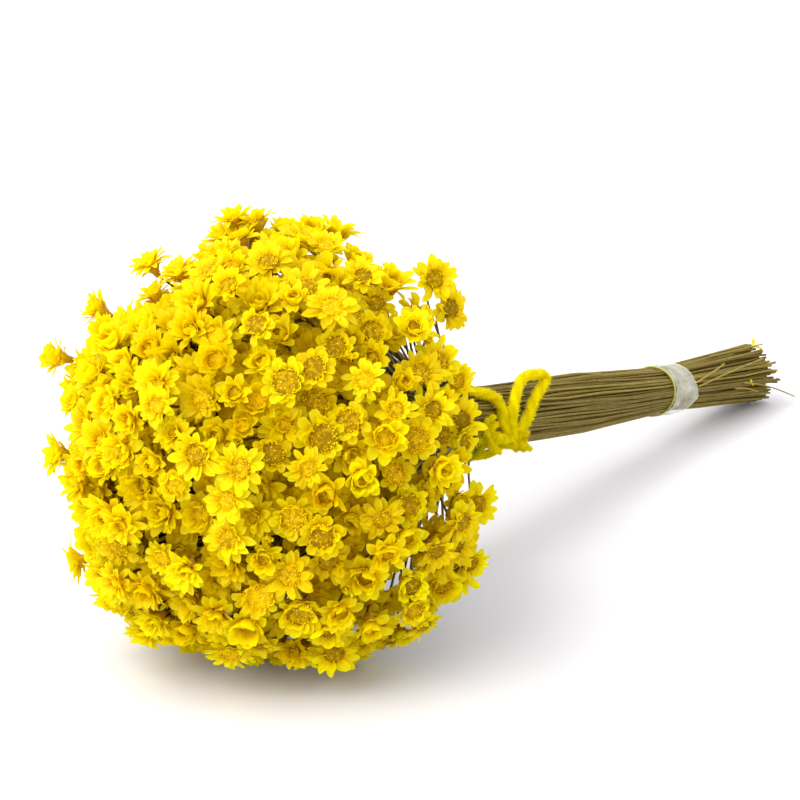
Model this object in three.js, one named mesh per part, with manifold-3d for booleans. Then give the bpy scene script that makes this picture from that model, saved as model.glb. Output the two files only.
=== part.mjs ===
// A dried bunch of star-shaped everlasting flowers, lying on a table.
//
// Hundreds of thin wiry stems run side by side from a ragged cut end, through a paper tape
// and a yarn bow, and then fan out to a ball of small yellow blooms. The ball and the cut end
// carry the bunch: the lowest blooms and the lowest stems are pressed flat on the table.
//
// The stems and the blooms are each split into the same 27 groups, in three rings round the
// bunch's axis: one group of stems feeds one group of blooms. Where two blooms of a group
// touch, one petal of each runs on into the other, which makes the group one body.
//
// Millimetres, +Z up. The whole is drawn round a point on the table straight below the ball's
// middle, and moved at the end so that the origin is on the table below the middle of its box.
// -X is the front of the bunch, and the stems run towards +X.

import * as THREE from "three";
import { mergeVertices } from "three/addons/utils/BufferGeometryUtils.js";
import Module from "manifold-3d";

const wasm = await Module();
wasm.setup();

// Driving dimensions of the whole bunch
const BALL_RADIUS = 62; // from the ball's middle to the discs of its blooms
const BALL_HEIGHT = 60.5; // the ball's middle above the table
const CUT_END = 350; // from the ball's middle to the cut end, along the bunch
const CUT_END_HEIGHT = 11; // the axis above the table at the cut end
const SAG = 2; // how far the bundle hangs below a straight line

// Lumps and dents of the ball: which way they lie from its middle, and how high and sharp
const LUMPS = [
  { at: [0.36, -0.7, -0.62], height: 6, sharpness: 2 },
  { at: [-0.36, 0.7, 0.62], height: -9, sharpness: 2 },
  { at: [0.52, -0.58, 0.62], height: 5, sharpness: 12 },
  { at: [-0.55, 0.76, -0.33], height: -10, sharpness: 8 },
  { at: [-0.08, 0.54, 0.84], height: -6, sharpness: 8 },
  { at: [0.55, -0.8, 0.2], height: -7, sharpness: 14 },
  { at: [0.44, -0.36, 0.82], height: -9, sharpness: 14 },
];
const BALL_TILT = THREE.MathUtils.degToRad(10); // from the bundle's axis to the ball's own
const TILT_TOWARDS = THREE.MathUtils.degToRad(-30); // to the side and a little down

// The blooms
const BLOOMS = 340;
const LAST_ANGLE = THREE.MathUtils.degToRad(106); // from the ball's front to its last row of blooms
const DEPTH_SPREAD = 5; // some blooms stand further out than others
const LEAN = 0.34; // the most that a bloom turns away at random, as a slope
const STEM_PULL = 0.55; // how far a bloom faces along its stem, and not straight out of the ball
const PULL_BY_SIDE = 0.45; // how much stronger that is on the -Y side, and weaker on the other
const TIE = 112; // where the fan of stems comes together, from the ball's middle
const BLOOM_DEPTH = 5.6; // from the disc down to the stem
const PETALS = 6;
const NOTCH_RADIUS = 3.9; // the middle of a bloom, out to where its petals part
const KINDS = [
  // open star, half-closed cup and flat button: how often, reach and rise of the petals, and the disc
  { share: 0.55, reach: 6.6, rise: 0.5, notchRise: -0.5, discRise: -0.1 },
  { share: 0.87, reach: 5.6, rise: 2.5, notchRise: 0.5, discRise: -1.3 },
  { share: 1, reach: 5.3, rise: 0.4, notchRise: -0.1, discRise: 0.7 },
];
const SAME_GROUP_GAP = 0.1; // between petals of one group that don't touch
const OTHER_GROUP_GAP = 0.22; // from a petal to the middle between two groups
const NECK = { half: 0.55, up: 0.25, down: 0.6, rise: 0.1 }; // where two petals run together

// The stems
const STEM_RADIUS = 0.5;
const STEM_SIDES = 3;
const STEM_GAP = 0.6; // below a bloom
const ROOT_COVER = 0.12; // from a single stem to the sides of the strand that it starts from
const STEM_SPACING = 1.4; // between single stems where they leave their strand
const FAN_START = 80; // where the strands end and single stems go on, from the ball's middle
const BEND_FROM = THREE.MathUtils.degToRad(88); // stems of blooms beyond this angle have a bend
const BEND_BELOW = 4; // the bend's depth below the bloom
const TWIST = 0.45; // how far the bundle turns on its way to the cut end
const STRAND_GAP = 0.3;
const RIDGE_DEPTH = 0.45;
const CUT_RAGGED = 9; // the strands are cut off at lengths that differ by up to this much

// The rings of groups: how many groups, the share of all blooms up to its outer edge, and how
// many stems show as ridges on a strand's outer face
const RINGS = [
  { name: "inner", groups: 3, upTo: 0.12, ridges: 2 },
  { name: "middle", groups: 9, upTo: 0.467, ridges: 1 },
  { name: "outer", groups: 15, upTo: 1, ridges: 3 },
];

// The bundle's radius at distances from the ball's middle
const BUNDLE = [
  [FAN_START, 17.5],
  [106, 10.2],
  [195, 10.6],
  [266, 8.4],
  [CUT_END, 12],
];

// The yarn, the elastic and the tape. The yarn's places are each a distance from the ball's
// middle, a clearance over the wrap that lies on the stems, and an angle in degrees.
const YARN_RADIUS = 1.6;
const KNOT = [124.5, 1.6, 205];
const WRAP = [
  [124.5, 0, 205],
  [119.5, 0, 175],
  [118, 0, 147],
  [112, 0, 125],
  [108, 0, 90],
  [108, 0, 45],
  [112, 0, 0],
  [118, 0, -45],
  [122, 0, -85],
  [125, 0, -120],
];
const LOOP = [
  [124.5, 1.6, 205],
  [120.4, 2, 169],
  [122.7, 2.4, 152],
  [129.4, 3, 133],
  [135.2, 4, 124],
  [141.8, 4.5, 123],
  [148.3, 4, 123],
  [149.6, 3, 129],
  [144.2, 2.2, 139],
  [137.3, 1.6, 153],
  [133, 1.4, 169],
  [128.9, 1.4, 185],
  [124.5, 1.5, 203],
];
const TAIL = [
  [123, 2.4, 202],
  [108, 3.5, 194],
  [95, 4.5, 193],
  [84, 5, 195],
];
const LONG_FRAY = [106, 4, 187];
const SHORT_FRAY = [128, 3.6, 207];
const TAPE_FROM = 256;
const TAPE_WIDTH = 20;
const TAPE_THICKNESS = 0.6;
const ELASTIC_RADIUS = 0.6;
const WRAP_GAP = 0.5;

// The ball's underside sinks under its own weight: what is lower than PRESS_HEIGHT is squeezed
// to PRESS of its way down, and petals that end up within PRESSED_FLAT of the table lie flat
const PRESS_HEIGHT = 20;
const PRESS = 0.73;
const PRESSED_FLAT = 1.5;

const SLIVER = 0.03; // what is thinner than this is merged into its surroundings

const COLOURS = { bloom: 0xf2cf0c, stem: 0x6d5e2f, yarn: 0xf4dc12, tape: 0xd6d8c8, elastic: 0xb9c24a };

// The bunch's own axes: FRONT runs along it out of the ball's front, SIDE and UP lie across it
const SLOPE = Math.asin((BALL_HEIGHT - CUT_END_HEIGHT) / CUT_END);
const FRONT = new THREE.Vector3(-Math.cos(SLOPE), 0, Math.sin(SLOPE));
const SIDE = new THREE.Vector3(0, 1, 0);
const UP = new THREE.Vector3().crossVectors(SIDE, FRONT);
const MIDDLE = new THREE.Vector3(0, 0, BALL_HEIGHT);

// The ball's own axes, which are turned a little from the bunch's
const BALL_FRONT = FRONT.clone()
  .multiplyScalar(Math.cos(BALL_TILT))
  .addScaledVector(SIDE, Math.sin(BALL_TILT) * Math.cos(TILT_TOWARDS))
  .addScaledVector(UP, Math.sin(BALL_TILT) * Math.sin(TILT_TOWARDS));
const BALL_SIDE = SIDE.clone().addScaledVector(BALL_FRONT, -SIDE.dot(BALL_FRONT)).normalize();
const BALL_UP = new THREE.Vector3().crossVectors(BALL_SIDE, BALL_FRONT);

const TURN = 2 * Math.PI;
const GOLDEN_ANGLE = Math.PI * (3 - Math.sqrt(5));

// A repeatable draw from 0 to 1 for each item and each purpose.
function draw(item, purpose) {
  const x = Math.sin(item * 12.9898 + purpose * 78.233 + 4.7) * 43758.5453;
  return x - Math.floor(x);
}

// The value at x on straight lines between points [x, value].
function between(points, x) {
  let i = 1;
  while (i < points.length - 1 && x > points[i][0]) i += 1;
  const [x0, y0] = points[i - 1];
  const [x1, y1] = points[i];
  return y0 + ((y1 - y0) * (x - x0)) / (x1 - x0);
}

// A point of the bundle: distance from the ball's middle, radius, and angle round the axis.
function inBundle(distance, radius, angle) {
  const hang = SAG * Math.sin((Math.PI * distance) / CUT_END);
  return MIDDLE.clone()
    .addScaledVector(FRONT, -distance)
    .addScaledVector(SIDE, radius * Math.cos(angle))
    .addScaledVector(UP, radius * Math.sin(angle))
    .add(new THREE.Vector3(0, 0, -hang));
}

// Where a point of the ball ends up when the ball sinks on to the table.
function sunk(point) {
  const depth = PRESS_HEIGHT - point.z;
  return depth > 0 ? point.clone().setZ(PRESS_HEIGHT - depth * PRESS) : point;
}

// Evenly scattered directions over the ball's front, pushed apart so that none is crowded.
function scatteredDirections() {
  const spacing = Math.sqrt((TURN * (1 - Math.cos(LAST_ANGLE))) / BLOOMS / 0.866);
  let all = [];
  for (let i = 0; i < BLOOMS; i += 1) {
    const forward = 1 - ((1 - Math.cos(LAST_ANGLE)) * (i + 0.5)) / BLOOMS;
    const angle = i * GOLDEN_ANGLE + (draw(i, 1) - 0.5) * 0.9 * spacing;
    const polar = Math.acos(forward) + (draw(i, 2) - 0.5) * 0.9 * spacing;
    all.push(fromAngles(Math.abs(polar), angle));
  }
  for (let round = 0; round < 6; round += 1) {
    all = all.map((own) => {
      const push = new THREE.Vector3();
      for (const other of all) {
        const apart = own.clone().sub(other);
        const size = apart.length();
        if (size > 0 && size < spacing) push.addScaledVector(apart, (spacing - size) / size);
      }
      const moved = own.clone().addScaledVector(push, 0.3).normalize();
      const polar = Math.min(Math.acos(moved.z), LAST_ANGLE);
      return fromAngles(polar, Math.atan2(moved.y, moved.x));
    });
  }
  return all;
}

// A direction in the ball's own axes: z to its front, x to its side and y up.
function fromAngles(polar, angle) {
  const across = Math.sin(polar);
  return new THREE.Vector3(across * Math.cos(angle), across * Math.sin(angle), Math.cos(polar));
}

function toWorld(own) {
  return new THREE.Vector3()
    .addScaledVector(BALL_SIDE, own.x)
    .addScaledVector(BALL_UP, own.y)
    .addScaledVector(BALL_FRONT, own.z);
}

// The share of the blooms that lie nearer to the ball's front than this angle.
function shareWithin(polar) {
  return (1 - Math.cos(polar)) / (1 - Math.cos(LAST_ANGLE));
}

// The ball isn't a true sphere: it has gentle lumps, and single blooms stand out or back.
function ballRadius(out, i) {
  const spread = (draw(i, 3) - 0.5) * DEPTH_SPREAD;
  return LUMPS.reduce((radius, lump) => {
    const towards = out.dot(new THREE.Vector3(...lump.at).normalize());
    return radius + lump.height * Math.max(0, towards) ** lump.sharpness;
  }, BALL_RADIUS + spread);
}

// One bloom's place, kind and axes, and the group that it belongs to.
function placeBloom(own, i) {
  const polar = Math.acos(own.z);
  const angle = (Math.atan2(own.y, own.x) + TURN) % TURN;
  const out = toWorld(own);
  const ring = RINGS.findIndex((r) => shareWithin(polar) <= r.upTo + 1e-9);
  const group = Math.min(RINGS[ring].groups - 1, Math.floor((angle / TURN) * RINGS[ring].groups));
  const lean = new THREE.Vector3(draw(i, 4) - 0.5, draw(i, 5) - 0.5, draw(i, 6) - 0.5);
  const centre = MIDDLE.clone().addScaledVector(out, ballRadius(out, i));
  const alongStem = centre.clone().sub(inBundle(TIE, 0, 0)).normalize();
  const pull = STEM_PULL - PULL_BY_SIDE * out.y;
  const facing = out.clone().addScaledVector(alongStem, pull).addScaledVector(lean, 2 * LEAN);
  facing.normalize();
  const kind = KINDS.find((k) => draw(i, 7) <= k.share);
  const size = 0.92 + 0.2 * draw(i, 8);
  return { i, polar, angle, out, ring, group, facing, centre, kind, size, joins: [] };
}

// Joins each group's blooms into a tree of nearest neighbours.
function joinGroup(members) {
  const joined = [members[0]];
  const waiting = members.slice(1);
  while (waiting.length) {
    let best = { length: Infinity };
    for (const from of joined)
      for (const to of waiting) {
        const length = from.centre.distanceTo(to.centre);
        if (length < best.length) best = { length, from, to };
      }
    const { from, to } = best;
    const along = to.centre.clone().sub(from.centre).normalize();
    const up = from.out.clone().add(to.out);
    up.addScaledVector(along, -up.dot(along)).normalize();
    const left = new THREE.Vector3().crossVectors(up, along);
    const middle = from.centre.clone().lerp(to.centre, 0.5).addScaledVector(up, NECK.rise);
    const neck = {
      left: middle.clone().addScaledVector(left, NECK.half).addScaledVector(up, NECK.up),
      right: middle.clone().addScaledVector(left, -NECK.half).addScaledVector(up, NECK.up),
      keel: middle.clone().addScaledVector(up, -NECK.down),
    };
    from.joins.push({ towards: to, neck });
    to.joins.push({ towards: from, neck: { left: neck.right, right: neck.left, keel: neck.keel } });
    joined.push(to);
    waiting.splice(waiting.indexOf(to), 1);
  }
}

// The furthest that a petal can reach along a direction and stay on its own side of the
// plane between its bloom and each neighbour.
function reachOf(bloom, along, rise, wanted, neighbours) {
  let reach = wanted;
  for (const other of neighbours) {
    const same = other.ring === bloom.ring && other.group === bloom.group;
    const gap = same ? SAME_GROUP_GAP : OTHER_GROUP_GAP;
    const away = bloom.out.clone().sub(other.out).normalize();
    const closing = -along.dot(away);
    if (closing <= 1e-6) continue;
    const start = bloom.centre.clone().sub(MIDDLE).addScaledVector(bloom.facing, rise);
    reach = Math.min(reach, (start.dot(away) - gap) / closing);
  }
  return reach;
}

// The directions of a bloom's petals: one to each bloom that it joins, and others between.
function petalAngles(bloom, across, over) {
  const fixed = bloom.joins
    .map((join) => {
      const to = join.towards.centre.clone().sub(bloom.centre);
      return { angle: (Math.atan2(to.dot(over), to.dot(across)) + TURN) % TURN, neck: join.neck };
    })
    .sort((a, b) => a.angle - b.angle);
  const petals = [];
  fixed.forEach((petal, k) => {
    const next = fixed[(k + 1) % fixed.length].angle + (k + 1 === fixed.length ? TURN : 0);
    const room = next - petal.angle;
    const steps = Math.max(1, Math.round((room / TURN) * PETALS));
    petals.push(petal);
    for (let step = 1; step < steps; step += 1)
      petals.push({ angle: petal.angle + (room * step) / steps });
  });
  return petals;
}

// One group of blooms as a closed mesh: each bloom is a cone up from its stem with a star for
// a rim and a disc in it, and joined petals share the three points of a neck.
function bloomGroup(members, all) {
  const points = [];
  const faces = [];
  const necks = new Map();
  const add = (point, flatBelow = 0) => {
    const p = sunk(point);
    return points.push(p.x, p.y, p.z < flatBelow ? 0 : p.z) / 3 - 1;
  };
  const shared = (p) => {
    if (!necks.has(p)) necks.set(p, add(p));
    return necks.get(p);
  };
  for (const bloom of members) {
    const { facing, centre, kind, size } = bloom;
    const near = all.filter((b) => b !== bloom && b.centre.distanceTo(centre) < 22);
    const across = new THREE.Vector3().crossVectors(facing, UP).normalize();
    const over = new THREE.Vector3().crossVectors(facing, across);
    const rim = (angle, wanted, rise) => {
      const along = across.clone().multiplyScalar(Math.cos(angle));
      along.addScaledVector(over, Math.sin(angle));
      const reach = reachOf(bloom, along, rise, wanted * size, near);
      return centre.clone().addScaledVector(along, reach).addScaledVector(facing, rise);
    };
    const petals = petalAngles(bloom, across, over);
    const notches = petals.map((petal, k) => {
      const next = petals[(k + 1) % petals.length].angle + (k + 1 === petals.length ? TURN : 0);
      return add(rim((petal.angle + next) / 2, NOTCH_RADIUS * size, kind.notchRise), PRESSED_FLAT);
    });
    const disc = add(centre.clone().addScaledVector(facing, kind.discRise), PRESSED_FLAT);
    const foot = add(centre.clone().addScaledVector(facing, -BLOOM_DEPTH));
    petals.forEach((petal, k) => {
      const before = notches[(k + petals.length - 1) % petals.length];
      const after = notches[k];
      faces.push([disc, before, after]);
      if (petal.neck) {
        const left = shared(petal.neck.left);
        const right = shared(petal.neck.right);
        const keel = shared(petal.neck.keel);
        faces.push([before, right, left], [before, left, after]);
        faces.push([before, foot, keel], [before, keel, right]);
        faces.push([after, left, keel], [after, keel, foot]);
      } else {
        const reach = kind.reach * (0.94 + 0.12 * draw(bloom.i, 20 + k));
        const tip = add(rim(petal.angle, reach, kind.rise), PRESSED_FLAT);
        faces.push([before, tip, after], [before, foot, tip], [tip, foot, after]);
      }
    });
  }
  return closedGeometry(points, faces);
}

// A geometry from points and triangles, with its faces turned outwards.
function closedGeometry(points, faces) {
  const corner = (k) => new THREE.Vector3().fromArray(points, k * 3);
  const volume = faces.reduce((sum, [a, b, c]) => sum + corner(a).dot(corner(b).cross(corner(c))), 0);
  const indices = faces.flatMap(([a, b, c]) => (volume < 0 ? [a, c, b] : [a, b, c]));
  const geometry = new THREE.BufferGeometry();
  geometry.setAttribute("position", new THREE.Float32BufferAttribute(points, 3));
  geometry.setIndex(indices);
  return geometry;
}

// Adds rings of points to a mesh, with walls between them, and returns where each ring starts.
// Each ring runs anticlockwise seen from the ring after it.
function addWalls(mesh, rings) {
  const starts = rings.map((ring) => {
    for (const p of ring) mesh.points.push(p.x, p.y, p.z);
    return mesh.points.length / 3 - ring.length;
  });
  const count = rings[0].length;
  for (let r = 0; r + 1 < rings.length; r += 1)
    for (let k = 0; k < count; k += 1) {
      const next = (k + 1) % count;
      const [a, b] = [starts[r] + k, starts[r] + next];
      const [c, d] = [starts[r + 1] + next, starts[r + 1] + k];
      mesh.faces.push([a, b, c], [a, c, d]);
    }
  return starts;
}

// The flat end of a strand: its outline, less the outlines that stems start from.
function endFaces(ring, start, holes, holeStarts) {
  const flat = (points) => points.map((p) => new THREE.Vector2(p.dot(SIDE), p.dot(UP)));
  const triangles = THREE.ShapeUtils.triangulateShape(flat(ring), holes.map(flat));
  const numbers = ring.map((_, k) => start + k);
  holes.forEach((hole, h) => hole.forEach((_, k) => numbers.push(holeStarts[h] + k)));
  return triangles.map((triangle) => triangle.map((k) => numbers[k]));
}

// The outline of one strand across the bundle, at the bundle's radius there, as [radius, angle].
function strandOutline(ringNumber, group, radius) {
  const ring = RINGS[ringNumber];
  const inside = ringNumber ? Math.sqrt(RINGS[ringNumber - 1].upTo) * radius + STRAND_GAP / 2 : 0;
  const outside = Math.sqrt(ring.upTo) * radius - (ringNumber === RINGS.length - 1 ? 0 : STRAND_GAP / 2);
  const from = (group / ring.groups) * TURN;
  const to = ((group + 1) / ring.groups) * TURN;
  const margin = (r) => Math.asin(Math.min(1, STRAND_GAP / 2 / r));
  const outline = [];
  const steps = ring.ridges * 2;
  const depth = ringNumber === RINGS.length - 1 ? RIDGE_DEPTH : 0;
  for (let k = 0; k <= steps; k += 1) {
    const r = outside - (k % 2 ? 0 : depth);
    const start = from + margin(r);
    outline.push([r, start + ((to - margin(r) - start) * k) / steps]);
  }
  const corner = inside / Math.cos((to - from) / 2);
  if (inside) outline.push([corner, to - margin(corner)], [corner, from + margin(corner)]);
  else outline.push([STRAND_GAP / 2 / Math.sin(Math.PI / ring.groups), (from + to) / 2]);
  return outline;
}

function bundleTwist(distance) {
  return (TWIST * (distance - FAN_START)) / (CUT_END - FAN_START);
}

// One strand: the stems of a group side by side, from where they part to the cut end.
function strandRings(ringNumber, group) {
  const end = CUT_END - CUT_RAGGED * draw(ringNumber * 31 + group, 9);
  const stations = BUNDLE.map(([distance]) => distance).slice(0, -1).concat(end);
  return stations.map((distance) => {
    const outline = strandOutline(ringNumber, group, between(BUNDLE, distance));
    return outline.map(([r, a]) => inBundle(distance, r, a + bundleTwist(distance)));
  });
}

// A bloom's own thin stem as three-cornered rings. The first lies in the end of its strand.
function stemRings(bloom) {
  const path = stemPath(bloom).map(sunk);
  return path.map((point, k) => {
    const along = k ? point.clone().sub(path[k - 1]).normalize() : FRONT;
    const turn = new THREE.Quaternion().setFromUnitVectors(FRONT, along);
    const ring = [];
    for (let side = 0; side < STEM_SIDES; side += 1) {
      const angle = (-side / STEM_SIDES) * TURN;
      const corner = SIDE.clone().multiplyScalar(Math.cos(angle)).addScaledVector(UP, Math.sin(angle));
      ring.push(corner.multiplyScalar(STEM_RADIUS).applyQuaternion(turn).add(point));
    }
    return ring;
  });
}

// A group's stems: one strand, and thin single stems that grow on out of its end.
function stemGroup(ringNumber, group, members) {
  const mesh = { points: [], faces: [] };
  const rings = strandRings(ringNumber, group);
  const starts = addWalls(mesh, rings);
  mesh.faces.push(...endFaces(rings.at(-1), starts.at(-1), [], []));
  const stems = members.map(stemRings);
  const stemStarts = stems.map((stem) => addWalls(mesh, stem));
  for (const tip of stemStarts.map((s) => s.at(-1))) mesh.faces.push([tip, tip + 1, tip + 2]);
  const roots = stems.map((stem) => stem[0]);
  const parting = endFaces(rings[0], starts[0], roots, stemStarts.map((s) => s[0]));
  for (const [a, b, c] of parting) mesh.faces.push([a, c, b]);
  return closedGeometry(mesh.points, mesh.faces);
}

// Where the stems of a group leave their strand: its end is filled in the same order as the
// blooms lie on the ball, and the stems are pushed apart until none runs into another.
function setRoots(members) {
  const ring = RINGS[members[0].ring];
  const top = between(BUNDLE, FAN_START);
  const lowShare = members[0].ring ? RINGS[members[0].ring - 1].upTo : 0;
  const margin = STEM_RADIUS + STRAND_GAP / 2 + ROOT_COVER;
  const low = members[0].ring ? Math.sqrt(lowShare) * top + margin : 1.1;
  const high = Math.sqrt(ring.upTo) * top - margin - RIDGE_DEPTH;
  const cell = TURN / ring.groups;
  const start = members[0].group * cell;
  const kept = (radius, angle) => {
    const slack = Math.min(0.45 * cell, margin / THREE.MathUtils.clamp(radius, low, high));
    const a = THREE.MathUtils.clamp(angle, start + slack, start + cell - slack);
    const inner = members[0].ring ? low / Math.cos(a - start - cell / 2) : low;
    const r = THREE.MathUtils.clamp(radius, inner, high);
    return new THREE.Vector2(r * Math.cos(a), r * Math.sin(a));
  };
  let places = members.map((bloom) => {
    const across = (shareWithin(bloom.polar) - lowShare) / (ring.upTo - lowShare);
    return kept(Math.sqrt(low * low + (high * high - low * low) * across), bloom.angle);
  });
  for (let round = 0; round < 60; round += 1)
    places = places.map((own, k) => {
      const moved = own.clone();
      places.forEach((other, m) => {
        const apart = own.clone().sub(other);
        const size = apart.length() || 1;
        const push = m !== k && size < STEM_SPACING ? (0.4 * (STEM_SPACING - size)) / size : 0;
        moved.addScaledVector(apart, push);
      });
      return kept(moved.length(), start + ((moved.angle() - start + 2 * TURN) % TURN));
    });
  members.forEach((bloom, k) => {
    bloom.root = inBundle(FAN_START, places[k].length(), places[k].angle());
  });
}

// The path of a bloom's own stem from inside its strand to just below the bloom.
function stemPath(bloom) {
  const foot = bloom.centre.clone().addScaledVector(bloom.facing, -BLOOM_DEPTH);
  if (bloom.polar < BEND_FROM) {
    const along = foot.clone().sub(bloom.root).normalize();
    return [bloom.root, foot.addScaledVector(along, -STEM_GAP)];
  }
  const bend = foot.clone().addScaledVector(bloom.out, -BEND_BELOW);
  const tip = foot.clone().addScaledVector(bend.clone().sub(foot).normalize(), STEM_GAP);
  return [bloom.root, bend, tip];
}

function solidOf(geometry) {
  const bare = geometry.clone();
  bare.deleteAttribute("normal");
  bare.deleteAttribute("uv");
  const merged = mergeVertices(bare, 1e-4);
  return new wasm.Manifold(
    new wasm.Mesh({
      numProp: 3,
      vertProperties: merged.attributes.position.array,
      triVerts: new Uint32Array(merged.index.array),
    }),
  );
}

function geometryOf(solid) {
  const mesh = solid.getMesh();
  const geometry = new THREE.BufferGeometry();
  geometry.setAttribute("position", new THREE.Float32BufferAttribute(mesh.vertProperties, mesh.numProp));
  geometry.setIndex(new THREE.BufferAttribute(mesh.triVerts, 1));
  return geometry;
}

// One body out of several geometries, cut off flat at the table, without the slivers that
// fusing leaves.
function fused(geometries) {
  const whole = wasm.Manifold.union(geometries.map(solidOf));
  return geometryOf(whole.trimByPlane([0, 0, 1], 0).simplify(SLIVER));
}

// A round cord along a smooth path.
function cord(points, radius, steps, sides) {
  const section = new THREE.Shape(
    Array.from({ length: sides }, (_, k) => {
      const angle = (k / sides) * TURN;
      return new THREE.Vector2(radius * Math.cos(angle), radius * Math.sin(angle));
    }),
  );
  const path = new THREE.CatmullRomCurve3(points);
  return new THREE.ExtrudeGeometry(section, { steps, extrudePath: path, curveSegments: 1 });
}

// A ring round the bundle, square to it.
function ringAround(distance, radius, tube, sides, segments) {
  const ring = new THREE.TorusGeometry(radius, tube, sides, segments);
  const turn = new THREE.Matrix4().makeBasis(SIDE, UP, FRONT.clone().negate());
  turn.setPosition(inBundle(distance, 0, 0));
  return ring.applyMatrix4(turn);
}

// A point of the yarn: distance from the ball's middle, clearance over the wrap that lies on the
// stems, and angle round the axis.
function onBundle([distance, out, degrees]) {
  const lies = between(BUNDLE, distance) + WRAP_GAP + YARN_RADIUS;
  return inBundle(distance, lies + out, THREE.MathUtils.degToRad(degrees));
}

// A fluffy clump of yarn: its middle, and its size along, round and off the bundle.
function clump(at, size) {
  const out = onBundle([at[0], at[1] + 1, at[2]]).sub(onBundle(at)).normalize();
  const round = new THREE.Vector3().crossVectors(FRONT, out).normalize();
  const place = new THREE.Matrix4().makeBasis(FRONT, round, new THREE.Vector3().crossVectors(FRONT, round));
  place.scale(new THREE.Vector3(...size));
  place.setPosition(onBundle(at));
  return new THREE.IcosahedronGeometry(1, 1).applyMatrix4(place);
}

// One loop of yarn lies slantwise round the bundle, and its knot holds a standing loop and two
// frayed ends.
function yarnBow() {
  const wrap = new THREE.CatmullRomCurve3(WRAP.map(onBundle), true);
  return fused([
    new THREE.TubeGeometry(wrap, 18, YARN_RADIUS, 6, true),
    cord(LOOP.map(onBundle), YARN_RADIUS, 15, 6),
    cord(TAIL.map(onBundle), YARN_RADIUS, 3, 6),
    clump(KNOT, [3.4, 3, 2.6]),
    clump(LONG_FRAY, [6.5, 4.5, 2.2]),
    clump(SHORT_FRAY, [3.8, 2.6, 2.2]),
  ]);
}

// The paper tape round the bundle near its cut end, with its loose end lapped over.
function paperTape() {
  const sides = 20;
  const lap = 3;
  const widest = Math.max(between(BUNDLE, TAPE_FROM), between(BUNDLE, TAPE_FROM + TAPE_WIDTH));
  const inner = (widest + WRAP_GAP) / Math.cos(Math.PI / sides) + 0.1;
  const outer = [];
  const hole = [];
  for (let k = 0; k < sides; k += 1) {
    const angle = (k / sides) * TURN;
    const thick = TAPE_THICKNESS * (k < lap ? 2 : 1);
    outer.push(new THREE.Vector2(Math.cos(angle), Math.sin(angle)).multiplyScalar(inner + thick));
    hole.push(new THREE.Vector2(Math.cos(angle), Math.sin(angle)).multiplyScalar(inner));
  }
  const shape = new THREE.Shape(outer);
  shape.holes.push(new THREE.Path(hole));
  const band = new THREE.ExtrudeGeometry(shape, { depth: TAPE_WIDTH, bevelEnabled: false });
  band.translate(0, 0, -TAPE_WIDTH / 2);
  const turn = new THREE.Matrix4().makeBasis(SIDE, UP, FRONT.clone().negate());
  turn.setPosition(inBundle(TAPE_FROM + TAPE_WIDTH / 2, 0, 0));
  return band.applyMatrix4(turn);
}

function elasticBand() {
  const radius = between(BUNDLE, TAPE_FROM - 2) + WRAP_GAP + ELASTIC_RADIUS;
  return ringAround(TAPE_FROM - ELASTIC_RADIUS - 0.4, radius, ELASTIC_RADIUS, 4, 18);
}

function finish(colour, roughness) {
  return new THREE.MeshStandardMaterial({ color: colour, roughness, metalness: 0, flatShading: true });
}

function named(name, geometry, material) {
  const mesh = new THREE.Mesh(geometry, material);
  mesh.name = name;
  return mesh;
}

const bunch = new THREE.Group();
const bloomFinish = finish(COLOURS.bloom, 0.6);
const stemFinish = finish(COLOURS.stem, 0.75);

const blooms = scatteredDirections().map(placeBloom);
RINGS.forEach((ring, ringNumber) => {
  for (let group = 0; group < ring.groups; group += 1) {
    const members = blooms.filter((b) => b.ring === ringNumber && b.group === group);
    joinGroup(members);
  }
});
RINGS.forEach((ring, ringNumber) => {
  for (let group = 0; group < ring.groups; group += 1) {
    const members = blooms.filter((b) => b.ring === ringNumber && b.group === group);
    const label = `${ring.name}_${String(group + 1).padStart(2, "0")}`;
    bunch.add(named(`blooms_${label}`, bloomGroup(members, blooms), bloomFinish));
    setRoots(members);
    const stems = stemGroup(ringNumber, group, members);
    bunch.add(named(`stems_${label}`, fused([stems]), stemFinish));
  }
});
bunch.add(named("yarn_bow", yarnBow(), finish(COLOURS.yarn, 0.95)));
bunch.add(named("paper_tape", paperTape(), finish(COLOURS.tape, 0.55)));
bunch.add(named("elastic_band", elasticBand(), finish(COLOURS.elastic, 0.5)));

const box = new THREE.Box3().setFromObject(bunch);
const middle = box.getCenter(new THREE.Vector3());
bunch.position.set(-middle.x, -middle.y, 0);

export default bunch;
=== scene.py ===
# %% [markdown]
# # A dried bunch of star-shaped everlasting flowers
#
# Hundreds of small papery blooms stand on thin wiry stalks. The stalks run side by side from a
# ragged cut end, through a paper tape and a knotted yarn, and fan out to a ball of blooms.
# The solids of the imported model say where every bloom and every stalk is. This lesson dresses
# them: petals, granular hearts, scaly bases, single stalks, fluffy yarn and wrinkled tape.

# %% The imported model
import math

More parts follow.
